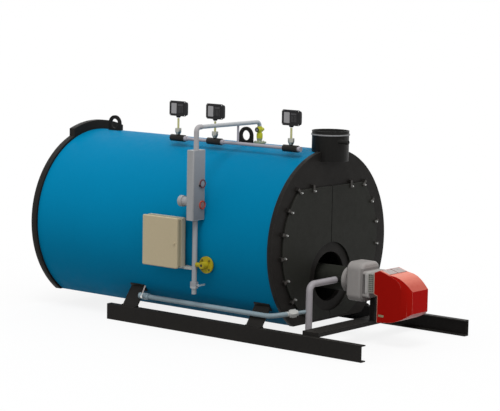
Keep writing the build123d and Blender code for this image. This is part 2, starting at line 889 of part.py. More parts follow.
with BuildPart() as float_chamber:
    float_y = column_y + column_d / 2 + seat_gap
    with BuildSketch(across(float_y)):
        with Locations((column_x - float_out, column_low_z + float_up)):
            Circle(float_neck_r)
    extrude(amount=-float_neck_len)
    with BuildSketch(across(float_y + float_neck_len)):
        with Locations((column_x - float_out, column_low_z + float_up)):
            Circle(float_r)
    extrude(amount=-float_len)
    chamfer(float_chamber.faces().sort_by(Axis.Y)[-1].edges(), float_bevel)
float_chamber.part.label = "float_chamber"
export_step(float_chamber.part, "parts/float_chamber.step")

with BuildPart() as column_top_pipe:
    with BuildLine() as rise_path:
        FilletPolyline(point(column_x, column_y, column_top_z), point(column_x, column_y, top_pipe_z),
                       point(column_x + top_pipe_bend + sleeve_len, column_y, top_pipe_z),
                       radius=top_pipe_bend)
    with BuildSketch(Plane(origin=rise_path.line @ 0, z_dir=rise_path.line % 0)):
        Circle(column_pipe_r)
    sweep()
    with BuildLine() as top_path:
        FilletPolyline(point(column_x + top_pipe_bend + sleeve_len, column_y, top_pipe_z),
                       point(safety_x, column_y, top_pipe_z),
                       point(safety_x, column_y, safety_top_z + seat_gap),
                       radius=top_pipe_bend - 2 * seat_gap)
    with BuildSketch(Plane(origin=top_path.line @ 0, z_dir=top_path.line % 0)):
        Circle(top_pipe_r)
    sweep()
column_top_pipe.part.label = "column_top_pipe"
export_step(column_top_pipe.part, "parts/column_top_pipe.step")

# Safety valve: a flanged upright body with a barrel across it
with BuildPart() as safety_valve:
    barrel_z = safety_top_z - safety_barrel_in
    with BuildSketch(level(crown_z + seat_gap)):
        with Locations((safety_x, column_y)):
            Circle(safety_base_r)
    extrude(amount=safety_base_t)
    with BuildSketch(level(crown_z + seat_gap + safety_base_t)):
        with Locations((safety_x, column_y)):
            Circle(safety_r)
    extrude(amount=safety_top_z - crown_z - seat_gap - safety_base_t)
    with BuildSketch(along(safety_x - safety_barrel_near)):
        with Locations((column_y, barrel_z)):
            Circle(safety_barrel_r)
    extrude(amount=safety_barrel_near + safety_barrel_far)
    with BuildSketch(along(safety_x + safety_barrel_far)):
        with Locations((column_y, barrel_z)):
            Circle(safety_stub_r)
    extrude(amount=safety_stub_len)
safety_valve.part.label = "safety_valve"
export_step(safety_valve.part, "parts/safety_valve.step")

with BuildPart() as column_drain_pipe:
    with BuildSketch(level(drain_low_z)):
        with Locations((column_x, column_y)):
            Circle(drain_r)
    extrude(amount=drain_len)
    with BuildSketch(level(drain_low_z - drain_hex_len)):
        with Locations((column_x, column_y)):
            RegularPolygon(drain_hex_r, 6)
    extrude(amount=drain_hex_len)
    with BuildSketch(level(drain_end_z)):
        with Locations((column_x, column_y)):
            Circle(drain_neck_r)
    extrude(amount=drain_neck_len)
    with BuildSketch(across(column_y)):
        with Locations((column_x, drain_mid_z)):
            Circle(drain_stem_r)
    extrude(amount=drain_hex_r + drain_stem_out)
    with BuildSketch(level(drain_end_z)):
        with Locations((column_x, column_y)):
            Circle(drain_bore_r)
    extrude(amount=port_depth, mode=Mode.SUBTRACT)
column_drain_pipe.part.label = "column_drain_pipe"
export_step(column_drain_pipe.part, "parts/column_drain_pipe.step")

with BuildPart() as drain_valve_lever:
    with BuildSketch(across(column_y - drain_hex_r - drain_stem_out - seat_gap)):
        with Locations((column_x, drain_mid_z)):
            Circle(drain_hub_r)
        with Locations((column_x + drain_lever_len / 2, drain_mid_z)):
            Rectangle(drain_lever_len, drain_lever_w)
    extrude(amount=drain_lever_t)
drain_valve_lever.part.label = "drain_valve_lever"
export_step(drain_valve_lever.part, "parts/drain_valve_lever.step")

# Feed valve: neck on the shell, flange, body, and a side pipe to the drain pipe
with BuildPart() as feed_valve:
    feed_top = min(feed_z + feed_flange_r, axis_z)
    feed_face_x = -side_x(feed_top, shell_r) - 2 * seat_gap
    with BuildSketch(along(feed_face_x)):
        with Locations((feed_y, feed_z)):
            Circle(feed_neck_r)
    extrude(amount=feed_neck_r)
    with BuildSketch(across(feed_y - feed_flange_r)):
        with Locations((0, axis_z)):
            Circle(shell_r + seat_gap)
    extrude(amount=-2 * feed_flange_r, mode=Mode.SUBTRACT)
    with BuildSketch(along(feed_face_x)):
        with Locations((feed_y, feed_z)):
            Circle(feed_flange_r)
    extrude(amount=-feed_flange_t)
    with BuildSketch(along(feed_face_x - feed_flange_t)):
        with Locations((feed_y, feed_z)):
            Circle(feed_body_r)
    extrude(amount=column_x - feed_face_x + feed_flange_t - feed_pipe_r)
    with BuildSketch(across(feed_y)):
        with Locations((column_x, feed_z)):
            Circle(feed_pipe_r)
    extrude(amount=drain_r + seat_gap - (column_y - feed_y))
feed_valve.part.label = "feed_valve"
export_step(feed_valve.part, "parts/feed_valve.step")

# Steam manifold: a pipe with three tees, and a switch on a stem over each
with BuildPart() as steam_manifold:
    mani_front_y = switch_y[2] - tee_len / 2 - bush_len
    with BuildSketch(across(mani_front_y)):
        with Locations((mani_x, mani_z)):
            Circle(mani_r)
    extrude(amount=mani_front_y - switch_y[0])
    for y in switch_y:
        with BuildSketch(across(y - tee_len / 2 - bush_len)):
            with Locations((mani_x, mani_z)):
                Circle(bush_r)
        extrude(amount=-bush_len)
        with BuildSketch(across(y - tee_len / 2)):
            with Locations((mani_x, mani_z)):
                Circle(tee_r)
        extrude(amount=-tee_len)
    with BuildSketch(level(mani_z)):
        with Locations((mani_x, column_y)):
            Circle(branch_r)
    extrude(amount=top_pipe_z - top_pipe_r - seat_gap - mani_z)
steam_manifold.part.label = "steam_manifold"
export_step(steam_manifold.part, "parts/steam_manifold.step")


def switch_stem(y):
    low = mani_z + tee_r + seat_gap
    with BuildPart() as stem:
        with BuildSketch(level(low)):
            with Locations((mani_x, y)):
                Circle(union_foot_r)
        extrude(amount=union_bowl_h, taper=flare(union_foot_r, union_bowl_r, union_bowl_h))
        with BuildSketch(level(low + union_bowl_h)):
            with Locations((mani_x, y)):
                Circle(union_bowl_r)
        extrude(amount=union_h - union_bowl_h)
        with BuildSketch(level(low + union_h)):
            with Locations((mani_x, y)):
                Circle(stem_r)
        extrude(amount=stem_len)
    return stem


switch_stem_rear = switch_stem(switch_y[0])
switch_stem_rear.part.label = "switch_stem_rear"
export_step(switch_stem_rear.part, "parts/switch_stem_rear.step")
switch_stem_middle = switch_stem(switch_y[1])
switch_stem_middle.part.label = "switch_stem_middle"
export_step(switch_stem_middle.part, "parts/switch_stem_middle.step")
switch_stem_front = switch_stem(switch_y[2])
switch_stem_front.part.label = "switch_stem_front"
export_step(switch_stem_front.part, "parts/switch_stem_front.step")


def pressure_switch(y):
    front_x = mani_x - (switch_front_d + switch_back_d) / 2
    with BuildPart() as switch:
        with BuildSketch(level(stem_top_z + seat_gap)):
            with Locations((mani_x, y)):
                Circle(socket_low_r)
        socket_len = socket_h + switch_end_in - seat_gap
        extrude(amount=socket_len, taper=flare(socket_low_r, socket_top_r, socket_len))
        with BuildSketch(along(front_x)):
            with Locations((y, switch_low_z + switch_h / 2)):
                RectangleRounded(switch_w, switch_h, switch_round)
        extrude(amount=switch_front_d)
        with BuildSketch(along(front_x + switch_front_d)):
            with Locations((y, switch_low_z + switch_h / 2)):
                RectangleRounded(switch_w - 2 * switch_side_in, switch_h - 2 * switch_end_in,
                                 switch_round - switch_side_in)
        extrude(amount=switch_back_d)
    return switch


pressure_switch_rear = pressure_switch(switch_y[0])
pressure_switch_rear.part.label = "pressure_switch_rear"
export_step(pressure_switch_rear.part, "parts/pressure_switch_rear.step")
pressure_switch_middle = pressure_switch(switch_y[1])
pressure_switch_middle.part.label = "pressure_switch_middle"
export_step(pressure_switch_middle.part, "parts/pressure_switch_middle.step")
pressure_switch_front = pressure_switch(switch_y[2])
pressure_switch_front.part.label = "pressure_switch_front"
export_step(pressure_switch_front.part, "parts/pressure_switch_front.step")

# Control box: a hollow case on two bars and a rail, and its cover hinged along the rear
case_x = box_face_x + box_cover_d + cover_gap
case_rear_x = case_x + box_body_d
box_mid_y = box_y + box_w / 2
box_mid_z = box_low_z + box_h / 2
hinge_x = box_face_x + box_cover_d
hinge_y = box_y + box_w + hinge_r + cover_gap
hinge_arm = box_inset + box_wall + hinge_r + cover_gap
hinge_z = (box_low_z + hinge_in, box_low_z + box_h - hinge_in)


def bar_depth(z, h):
    # Depth of a bar of height h at height z, from the case to the shell.
    low, high = z - h / 2, z + h / 2
    return -case_rear_x - max(side_x(low, shell_r + seat_gap), side_x(high, shell_r + seat_gap))


with BuildPart() as control_box:
    with BuildSketch(along(case_x)):
        with Locations((box_mid_y, box_mid_z)):
            RectangleRounded(box_w - 2 * box_inset, box_h - 2 * box_inset, box_corner)
    extrude(amount=box_body_d)
    with BuildSketch(along(case_rear_x - box_rear_d)):
        with Locations((box_mid_y, box_mid_z)):
            RectangleRounded(box_w, box_h, box_corner)
    extrude(amount=box_rear_d)
    with BuildSketch(along(case_x)):
        with Locations((box_mid_y, box_mid_z)):
            RectangleRounded(box_w - 2 * box_inset - 2 * box_wall, box_h - 2 * box_inset - 2 * box_wall,
                             box_corner - box_wall)
    extrude(amount=box_body_d - box_wall, mode=Mode.SUBTRACT)
    for z in (box_low_z + box_bar_in, box_low_z + box_h - box_bar_in):
        depth = bar_depth(z, box_bar_w)
        with BuildSketch(level(z - box_bar_w / 2)):
            with Locations((case_rear_x + depth / 2, box_mid_y)):
                Rectangle(depth, box_bar_len)
        extrude(amount=box_bar_w)
    rail_depth = bar_depth(box_low_z, rail_h)
    with BuildSketch(level(box_low_z - rail_h / 2)):
        with Locations((case_rear_x + rail_depth / 2, box_y - rail_out + rail_len / 2)):
            Rectangle(rail_depth, rail_len)
    extrude(amount=rail_h)
    for z in hinge_z:
        with BuildSketch(level(z - hinge_h)):
            with Locations((hinge_x, hinge_y)):
                Circle(hinge_r)
            with Locations((case_x + hinge_r / 2, hinge_y - hinge_arm / 2)):
                Rectangle(hinge_r, hinge_arm)
        extrude(amount=hinge_h)
control_box.part.label = "control_box"
export_step(control_box.part, "parts/control_box.step")

with BuildPart() as control_box_door:
    with BuildSketch(along(box_face_x)):
        with Locations((box_mid_y, box_mid_z)):
            RectangleRounded(box_w, box_h, box_corner)
    extrude(amount=box_cover_d)
    chamfer(control_box_door.faces().sort_by(Axis.X)[0].edges(), cover_bevel)
    with BuildSketch(along(box_face_x + box_cover_d)):
        with Locations((box_mid_y, box_mid_z)):
            RectangleRounded(box_w - 2 * box_inset, box_h - 2 * box_inset, box_corner)
    extrude(amount=box_wall - box_cover_d, mode=Mode.SUBTRACT)
    with BuildSketch(along(box_face_x)):
        with Locations((box_y + knob_in, box_mid_z)):
            Circle(knob_r)
    extrude(amount=-knob_h)
    for z in hinge_z:
        with BuildSketch(level(z + seat_gap)):
            with Locations((hinge_x, hinge_y)):
                Circle(hinge_r)
            with Locations((hinge_x - hinge_r / 2, hinge_y - hinge_r)):
                Rectangle(hinge_r, 2 * hinge_r)
        extrude(amount=hinge_h)
control_box_door.part.label = "control_box_door"
export_step(control_box_door.part, "parts/control_box_door.step")

print("axis at x", round(ax, 3), "shell front at y", round(fy, 3), "gas pipe at x", round(ax + gas_x, 3))
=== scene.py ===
import math

import bmesh
import bpy
from mathutils import Matrix, Vector


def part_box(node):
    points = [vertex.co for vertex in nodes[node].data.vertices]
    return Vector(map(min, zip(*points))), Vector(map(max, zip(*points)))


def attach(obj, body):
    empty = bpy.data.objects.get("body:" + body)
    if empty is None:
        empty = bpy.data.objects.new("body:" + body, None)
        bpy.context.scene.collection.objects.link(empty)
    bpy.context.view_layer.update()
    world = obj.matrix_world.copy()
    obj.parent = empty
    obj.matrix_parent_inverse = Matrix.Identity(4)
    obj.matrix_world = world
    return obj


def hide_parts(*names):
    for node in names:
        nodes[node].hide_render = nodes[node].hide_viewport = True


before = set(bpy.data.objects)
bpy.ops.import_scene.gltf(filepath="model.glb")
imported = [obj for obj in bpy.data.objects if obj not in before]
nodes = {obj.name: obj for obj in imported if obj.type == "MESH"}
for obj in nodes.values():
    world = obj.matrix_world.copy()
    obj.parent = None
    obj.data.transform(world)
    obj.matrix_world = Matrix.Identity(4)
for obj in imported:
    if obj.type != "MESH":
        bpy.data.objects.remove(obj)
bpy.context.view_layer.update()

# The boiler's own axes in metres: x from the shell's axis, y from the shell's front edge, z from the floor
ORIGIN = (0.0695, -0.875, 0.0)
Y_AXIS, Z_AXIS = 1, 2
FRONT = Vector((0, -1, 0))
NEAR = Vector((-1, 0, 0))
UP = Vector((0, 0, 1))

# The pressure switches and their places along y, where the manifold's tees are too
SWITCH_PLACES = ("rear", "middle", "front")
SWITCH_Y = (1.437, 1.012, 0.170)


def at(x, y, z):
    """The scene's point for a place in the boiler's own axes."""
    return Vector((ORIGIN[0] + x, ORIGIN[1] + y, ORIGIN[2] + z))


# Camera at the photograph's place
YAW, PITCH, ROLL = -51.456, -7.185, 1.089
CAMERA_PLACE = (-13.4415, -10.796, 3.219)
LENS = 141.08
yaw, pitch, roll = math.radians(YAW), math.radians(PITCH), math.radians(ROLL)
forward = Vector((-math.sin(yaw) * math.cos(pitch), math.cos(yaw) * math.cos(pitch), math.sin(pitch)))
right = Vector((math.cos(yaw), math.sin(yaw), 0))
up = right.cross(forward)
cam_right = math.cos(roll) * right + math.sin(roll) * up
cam_up = -math.sin(roll) * right + math.cos(roll) * up
cam_data = bpy.data.cameras.new("camera")
cam = bpy.data.objects.new("camera", cam_data)
bpy.context.scene.collection.objects.link(cam)
turn = Matrix((cam_right, cam_up, -forward)).transposed()
cam.matrix_world = Matrix.Translation(CAMERA_PLACE) @ turn.to_4x4()
cam_data.sensor_width = 36
cam_data.lens = LENS
cam_data.clip_end = 200
bpy.context.scene.camera = cam
bpy.context.scene.view_settings.view_transform = "Standard"


# Shader helpers
def new_material(name):
    mat = bpy.data.materials.new(name)
    mat.use_nodes = True
    tree = mat.node_tree
    tree.nodes.clear()
    out = tree.nodes.new("ShaderNodeOutputMaterial")
    bsdf = tree.nodes.new("ShaderNodeBsdfPrincipled")
    tree.links.new(bsdf.outputs[0], out.inputs[0])
    return mat, tree, bsdf


def coordinates(tree):
    """The surface's own coordinates, whole and split into x, y and z."""
    coords = tree.nodes.new("ShaderNodeTexCoord").outputs["Object"]
    split = tree.nodes.new("ShaderNodeSeparateXYZ")
    tree.links.new(coords, split.inputs[0])
    return coords, split.outputs


def noise(tree, coords, scale, detail=3.0, rough=0.55, stretch=None):
    node = tree.nodes.new("ShaderNodeTexNoise")
    node.inputs["Scale"].default_value = scale
    node.inputs["Detail"].default_value = detail
    node.inputs["Roughness"].default_value = rough
    if stretch:
        mapping = tree.nodes.new("ShaderNodeMapping")
        mapping.inputs["Scale"].default_value = stretch
        tree.links.new(coords, mapping.inputs["Vector"])
        coords = mapping.outputs[0]
    tree.links.new(coords, node.inputs["Vector"])
    return node.outputs[0]


def ramp(tree, value, low, high, first, last):
    """Grey that goes from first to last while value goes from low to high."""
    node = tree.nodes.new("ShaderNodeValToRGB")
    for element, place, level in zip(node.color_ramp.elements, (low, high), (first, last)):
        element.position = place
        element.color = (level, level, level, 1)
    tree.links.new(value, node.inputs[0])
    return node.outputs[0]


def connect(tree, socket, value):
    """Sets a socket to a number or a colour, or links it to another node's output."""
    if isinstance(value, (int, float)):
        socket.default_value = value
    elif isinstance(value, tuple):
        socket.default_value = (*value, 1)
    else:
        tree.links.new(value, socket)


def maths(tree, operation, *values):
    node = tree.nodes.new("ShaderNodeMath")
    node.operation = operation
    for socket, value in zip(node.inputs, values):
        connect(tree, socket, value)
    return node.outputs[0]


def mix(tree, factor, a, b, mode="MIX"):
    node = tree.nodes.new("ShaderNodeMix")
    node.data_type = "RGBA"
    node.blend_type = mode
    factor_socket, a_socket, b_socket = node.inputs[0], node.inputs[6], node.inputs[7]
    connect(tree, factor_socket, factor)
    connect(tree, a_socket, a)
    connect(tree, b_socket, b)
    return node.outputs[2]


def mottled(tree, base, value, low, high, vary):
    """Darkens base by up to vary where value is low."""
    return mix(tree, 1.0, base, ramp(tree, value, low, high, 1 - vary, 1.0), "MULTIPLY")


def edge_mask(tree, radius):
    """White where a rounded edge would turn away from the flat face."""
    bevel = tree.nodes.new("ShaderNodeBevel")
    bevel.samples = 4
    bevel.inputs["Radius"].default_value = radius
    geometry = tree.nodes.new("ShaderNodeNewGeometry")
    dot = tree.nodes.new("ShaderNodeVectorMath")
    dot.operation = "DOT_PRODUCT"
    tree.links.new(bevel.outputs[0], dot.inputs[0])
    tree.links.new(geometry.outputs["Normal"], dot.inputs[1])
    return ramp(tree, dot.outputs["Value"], low=0.9, high=0.995, first=1, last=0)


def zone(colour, x=None, y=None, z=None):
    """Another colour inside a box given by its spans along the boiler's axes; None leaves an axis free."""
    return (x, y, z), colour


def inside(tree, split, spans):
    """One inside a zone's spans and nought outside them."""
    mask = None
    for axis, span in enumerate(spans):
        if span is None:
            continue
        middle, half = ORIGIN[axis] + (span[0] + span[1]) / 2, (span[1] - span[0]) / 2
        part = maths(tree, "COMPARE", split[axis], middle, half)
        mask = part if mask is None else maths(tree, "MULTIPLY", mask, part)
    return mask


def darkened_along(tree, base, split, axis, low, high, amount):
    """Darkens base by amount at low on one of the boiler's axes, and by nothing at high."""
    span = tree.nodes.new("ShaderNodeMapRange")
    tree.links.new(split[axis], span.inputs["Value"])
    span.inputs["From Min"].default_value = ORIGIN[axis] + low
    span.inputs["From Max"].default_value = ORIGIN[axis] + high
    span.inputs["To Min"].default_value = 1.0 - amount
    span.inputs["To Max"].default_value = 1.0
    return mix(tree, 1.0, base, span.outputs[0], "MULTIPLY")


def dust_and_sheen(tree, base, fine, amount, colour, even):
    """Lays a colour on the faces that look up, even where even is one and in specks where it is nought:
    dust, and on some materials a painted sheen.
    """
    geometry = tree.nodes.new("ShaderNodeNewGeometry")
    facing = tree.nodes.new("ShaderNodeSeparateXYZ")
    tree.links.new(geometry.outputs["Normal"], facing.inputs[0])
    top = ramp(tree, facing.outputs[2], low=0.55, high=1.0, first=0, last=amount)
    specks = ramp(tree, fine, low=0.3, high=0.7, first=even, last=1)
    return mix(tree, mix(tree, 1.0, top, specks, "MULTIPLY"), base, colour)


def worn_and_highlit(tree, base, coords, colour, edge, broken):
    """Shows another colour along the edges, in broken patches or all along them: wear, and on some materials
    a painted highlight.
    """
    rim = edge_mask(tree, edge)
    if broken:
        patches = noise(tree, coords, scale=60.0, detail=6.0, rough=0.7)
        gaps = ramp(tree, patches, low=0.42, high=0.66, first=0, last=1)
        rim = mix(tree, 1.0, rim, gaps, "MULTIPLY")
    return mix(tree, rim, base, colour)


def bumped(tree, bsdf, height, strength, distance):
    bump = tree.nodes.new("ShaderNodeBump")
    bump.inputs["Strength"].default_value = strength
    bump.inputs["Distance"].default_value = distance
    tree.links.new(height, bump.inputs["Height"])
    tree.links.new(bump.outputs[0], bsdf.inputs["Normal"])


def paint(name, colour, rough=0.45, vary=0.08, peel=0.0006, peel_scale=900, coat=0.0,
          wear_and_highlight=None, edge=0.004, broken=True, dust_sheen=0.0, streak=0.0, spec=0.2, tint=None, zones=(),
          darkening=None, dust_sheen_colour=(0.42, 0.40, 0.37), dust_sheen_even=0.2):
    """Painted or moulded surface: broad tone changes, fine peel, worn edges and dust on top faces; on some
    materials the edge colour is a painted highlight and the top colour a painted sheen.
    """
    mat, tree, bsdf = new_material(name)
    coords, split = coordinates(tree)
    broad = noise(tree, coords, scale=2.3, detail=4.0)
    fine = noise(tree, coords, scale=38.0, detail=5.0, rough=0.65)
    base = mottled(tree, colour, broad, low=0.3, high=0.7, vary=vary)
    for spans, other in zones:
        base = mix(tree, inside(tree, split, spans), base, other)
    base = mottled(tree, base, fine, low=0.32, high=0.62, vary=vary)
    if darkening:
        base = darkened_along(tree, base, split, *darkening)
    if streak:
        runs = noise(tree, coords, scale=5.0, detail=6.0, rough=0.7, stretch=(6.0, 6.0, 0.35))
        marks = ramp(tree, runs, low=0.5, high=0.78, first=0, last=streak)
        base = mix(tree, marks, base, tuple(c * 0.62 for c in colour))
    if dust_sheen:
        base = dust_and_sheen(tree, base, fine, dust_sheen, dust_sheen_colour, dust_sheen_even)
    if wear_and_highlight:
        base = worn_and_highlit(tree, base, coords, wear_and_highlight, edge, broken)
    tree.links.new(base, bsdf.inputs["Base Color"])
    patches = noise(tree, coords, scale=14.0, detail=4.0)
    shine = ramp(tree, patches, low=0.3, high=0.7, first=rough * 0.88, last=min(1, rough * 1.12))
    tree.links.new(shine, bsdf.inputs["Roughness"])
    bsdf.inputs["Coat Weight"].default_value = coat
    bsdf.inputs["Coat Roughness"].default_value = 0.12
    bsdf.inputs["Specular IOR Level"].default_value = spec
    if tint:
        bsdf.inputs["Specular Tint"].default_value = (*tint, 1)
    bumped(tree, bsdf, noise(tree, coords, scale=peel_scale, detail=2.0), strength=0.35, distance=peel)
    return mat


def metal(name, colour, rough=0.32, brushed=(1.0, 1.0, 1.0), zones=()):
    """Bare metal with a drawn or turned grain."""
    mat, tree, bsdf = new_material(name)
    coords, split = coordinates(tree)
    grain = noise(tree, coords, scale=180.0, detail=4.0, rough=0.7, stretch=brushed)
    stain = noise(tree, coords, scale=22.0, detail=5.0, rough=0.6)
    base = mottled(tree, colour, stain, low=0.35, high=0.65, vary=0.12)
    for spans, other in zones:
        base = mix(tree, inside(tree, split, spans), base, other)
    tree.links.new(base, bsdf.inputs["Base Color"])
    shine = ramp(tree, grain, low=0.3, high=0.7, first=rough * 0.75, last=rough * 1.3)
    tree.links.new(shine, bsdf.inputs["Roughness"])
    bsdf.inputs["Metallic"].default_value = 1.0
    bumped(tree, bsdf, grain, strength=0.25, distance=0.0004)
    return mat


# Materials of the steelwork and the shell
DARK = (0.014, 0.013, 0.012)
# painted shade: the shell's blue darkens towards its front
blue = paint("blue_paint", (0.0006, 0.212, 0.410), rough=0.50, vary=0.03, peel=0.0004, peel_scale=700,
             streak=0.05, spec=0.03, tint=(0.1, 0.7, 1.0), darkening=(Y_AXIS, -0.1, 2.0, 0.15))
black = paint("black_paint", (0.0165, 0.0150, 0.0135), rough=0.50, vary=0.16, wear_and_highlight=(0.060, 0.056, 0.052),
              dust_sheen=0.04, spec=0.08)
door_nuts = zone((0.20, 0.20, 0.19), y=(-0.0825, -0.0690))
door_black = paint("door_black", (0.0215, 0.0220, 0.0185), rough=0.48, vary=0.12, wear_and_highlight=(0.075, 0.075, 0.068),
                   dust_sheen=0.05, peel=0.0010, peel_scale=420, spec=0.08, zones=[door_nuts])
# painted highlight: a pale grey band round the flue below its lip
flue_band_highlight = zone((0.30, 0.30, 0.31), z=(1.7325, 1.7445))
flue_black = paint("flue_black", (0.0165, 0.0160, 0.0150), rough=0.42, vary=0.14, wear_and_highlight=(0.09, 0.09, 0.085),
                   dust_sheen=0.03, spec=0.08, zones=[flue_band_highlight])
soot = paint("soot", (0.009, 0.009, 0.008), rough=0.85, vary=0.4, peel=0.002, peel_scale=160, spec=0.05)
dog_steel = paint("dog_steel", (0.045, 0.040, 0.036), rough=0.5, vary=0.2, wear_and_highlight=(0.22, 0.2, 0.18),
                  edge=0.002, spec=0.3)
# painted shade: near black for the gap between the doors
gap_shade = paint("door_gap_shade", (0.006, 0.006, 0.0055), rough=0.8, vary=0.3, spec=0.05)
steel = metal("bright_steel", (0.62, 0.62, 0.61), rough=0.30, brushed=(1, 1, 12))

# Materials of the pipes and the water column
PIPE_WEAR = (0.45, 0.44, 0.43)
drain_end = zone((0.40, 0.41, 0.42), z=(0.30, 0.43))
drain_grey = paint("drain_grey", (0.290, 0.300, 0.318), rough=0.40, vary=0.05, wear_and_highlight=PIPE_WEAR, edge=0.003,
                   zones=[drain_end])
# painted shadow: the riser's end under the burner is near black
riser_end_shadow = zone(DARK, x=(-0.138, 0.0), z=(0.46, 0.56))
riser_grey = paint("riser_grey", (0.350, 0.330, 0.348), rough=0.40, vary=0.05, wear_and_highlight=PIPE_WEAR, edge=0.003,
                   zones=[riser_end_shadow])
tees = [zone(DARK, y=(y - 0.0776, y + 0.0776), z=(1.58, 1.655)) for y in SWITCH_Y]
manifold_grey = paint("manifold_grey", (0.372, 0.356, 0.396), rough=0.40, vary=0.05, wear_and_highlight=PIPE_WEAR,
                      edge=0.003, spec=0.12, zones=tees)
top_pipe_upright = zone((0.40, 0.385, 0.395), x=(-1.0, -0.79))
top_pipe_grey = paint("top_pipe_grey", (0.470, 0.485, 0.500), rough=0.40, vary=0.04, wear_and_highlight=(0.6, 0.6, 0.6),
                      edge=0.003, zones=[top_pipe_upright])
union = zone((0.58, 0.59, 0.57), x=(-0.640, -0.576), y=(-0.25, 0.0))
low_pipe_grey = paint("low_pipe_grey", (0.290, 0.375, 0.415), rough=0.42, vary=0.06, wear_and_highlight=(0.45, 0.46, 0.46),
                      edge=0.003, darkening=(Y_AXIS, -0.35, 0.75, 0.28), zones=[union])
outlet_grey = paint("pipe_grey", (0.305, 0.300, 0.322), rough=0.40, vary=0.05, wear_and_highlight=PIPE_WEAR, edge=0.003)
column_grey = paint("column_grey", (0.340, 0.345, 0.352), rough=0.44, vary=0.04, wear_and_highlight=(0.50, 0.50, 0.50),
                    edge=0.004, broken=False)
# painted shade: the column's face darkens towards its bottom
column_front = paint("column_front", (0.345, 0.350, 0.368), rough=0.46, vary=0.04, wear_and_highlight=(0.36, 0.38, 0.38),
                     edge=0.002, broken=False, darkening=(Z_AXIS, 1.02, 1.58, 0.42))
upper_port = zone((0.16, 0.045, 0.050), z=(1.25, 1.40))
port_red = paint("port_red", (0.50, 0.055, 0.030), rough=0.42, vary=0.10, edge=0.002, wear_and_highlight=(0.5, 0.3, 0.25),
                 zones=[upper_port])
lower_glass = zone((0.30, 0.15, 0.12), z=(1.05, 1.20))
glass_grey = paint("sight_glass", (0.30, 0.30, 0.31), rough=0.12, vary=0.05, coat=0.5, peel=0.0001, spec=0.4,
                   zones=[lower_glass])

# Materials of the valves
yellow = paint("yellow_paint", (0.42, 0.345, 0.014), rough=0.44, vary=0.12, peel=0.0012, peel_scale=380,
               wear_and_highlight=(0.30, 0.24, 0.05), edge=0.003)
bolt_dark = paint("bolt_dark", (0.150, 0.120, 0.018), rough=0.5, vary=0.2, spec=0.2)
safety_foot = zone((0.30, 0.34, 0.22), z=(1.60, 1.648))
safety_yellow = paint("safety_yellow", (0.60, 0.58, 0.030), rough=0.40, vary=0.08, peel=0.0012,
                      peel_scale=380, wear_and_highlight=(0.36, 0.35, 0.06), edge=0.003, zones=[safety_foot])
flange_green = paint("safety_flange", (0.34, 0.38, 0.25), rough=0.5, vary=0.1, wear_and_highlight=(0.45, 0.48, 0.36),
                     edge=0.002)
outlet_dark = paint("outlet_dark", (0.055, 0.058, 0.020), rough=0.5, vary=0.15, spec=0.15,
                    wear_and_highlight=(0.12, 0.12, 0.05), edge=0.002)
lever_white = paint("lever_coat", (0.42, 0.50, 0.53), rough=0.35, vary=0.05, wear_and_highlight=(0.5, 0.5, 0.5),
                    edge=0.002)
grip_pale = paint("lever_grip", (0.52, 0.47, 0.46), rough=0.5, vary=0.05)

# Materials of the control box and the pressure switches
beige = paint("beige_coat", (0.500, 0.420, 0.275), rough=0.50, vary=0.03, peel=0.0010, peel_scale=520,
              wear_and_highlight=(0.60, 0.55, 0.42), edge=0.002)
box_mount = zone((0.43, 0.40, 0.31), x=(-0.896, -0.850), y=(0.60, 1.30), z=(0.57, 1.015))
box_underside = zone((0.42, 0.43, 0.40), x=(-0.896, -0.700), y=(0.60, 1.30), z=(0.560, 0.590))
# painted shade: the case is a darker beige than its door, for the shade on its sides
case_beige_shaded = paint("case_beige_shaded", (0.375, 0.330, 0.222), rough=0.50, vary=0.03, peel=0.0010, peel_scale=520,
                   wear_and_highlight=(0.50, 0.46, 0.36), edge=0.002, zones=[box_mount, box_underside])
moulded = paint("black_moulding", (0.024, 0.023, 0.024), rough=0.50, vary=0.10, peel=0.0006, peel_scale=1200,
                wear_and_highlight=(0.07, 0.07, 0.072), edge=0.003, spec=0.12)
window_clear = paint("switch_window", (0.330, 0.320, 0.325), rough=0.28, vary=0.05, coat=0.25, peel=0.0002,
                     spec=0.3)
rib_grey = paint("switch_ribs", (0.085, 0.082, 0.084), rough=0.5, vary=0.1, wear_and_highlight=(0.16, 0.16, 0.16),
                 edge=0.002, spec=0.1)
stem_foot = zone((0.36, 0.365, 0.33), z=(1.64, 1.7074))
brass = metal("brass", (0.43, 0.43, 0.215), rough=0.38, zones=[stem_foot])

# Materials of the burner
tube_steel = paint("tube_steel", (0.026, 0.027, 0.022), rough=0.55, vary=0.2, spec=0.12,
                   wear_and_highlight=(0.10, 0.095, 0.085))
throat_middle = zone((0.40, 0.385, 0.37), y=(-0.560, -0.520))
housing_edge = zone((0.225, 0.212, 0.204), y=(-0.4875, -0.4660), z=(0.34, 0.635))
boss_edge = zone((0.27, 0.25, 0.24), y=(-0.296, -0.280))
cast_grey = paint("cast_grey", (0.345, 0.325, 0.312), rough=0.56, vary=0.06, peel=0.0014, peel_scale=330,
                  wear_and_highlight=(0.42, 0.41, 0.40), broken=False, edge=0.005, spec=0.12,
                  zones=[throat_middle, housing_edge, boss_edge])
# painted shade: near black standing for the shade inside grooves, holes and bores
recess_shade = paint("recess_shade", (0.060, 0.056, 0.054), rough=0.7, vary=0.2, spec=0.08)
bar_grey = paint("throat_bar", (0.46, 0.445, 0.43), rough=0.5, vary=0.06, peel=0.001, peel_scale=330)
grille_grey = paint("throat_grille", (0.340, 0.345, 0.300), rough=0.6, vary=0.20, peel=0.001, peel_scale=260)
# painted light: the cowl's front face is a brighter, deeper red than its sides
cowl_front_lit = zone((0.430, 0.0035, 0.0025), y=(-0.9925, -0.9910))
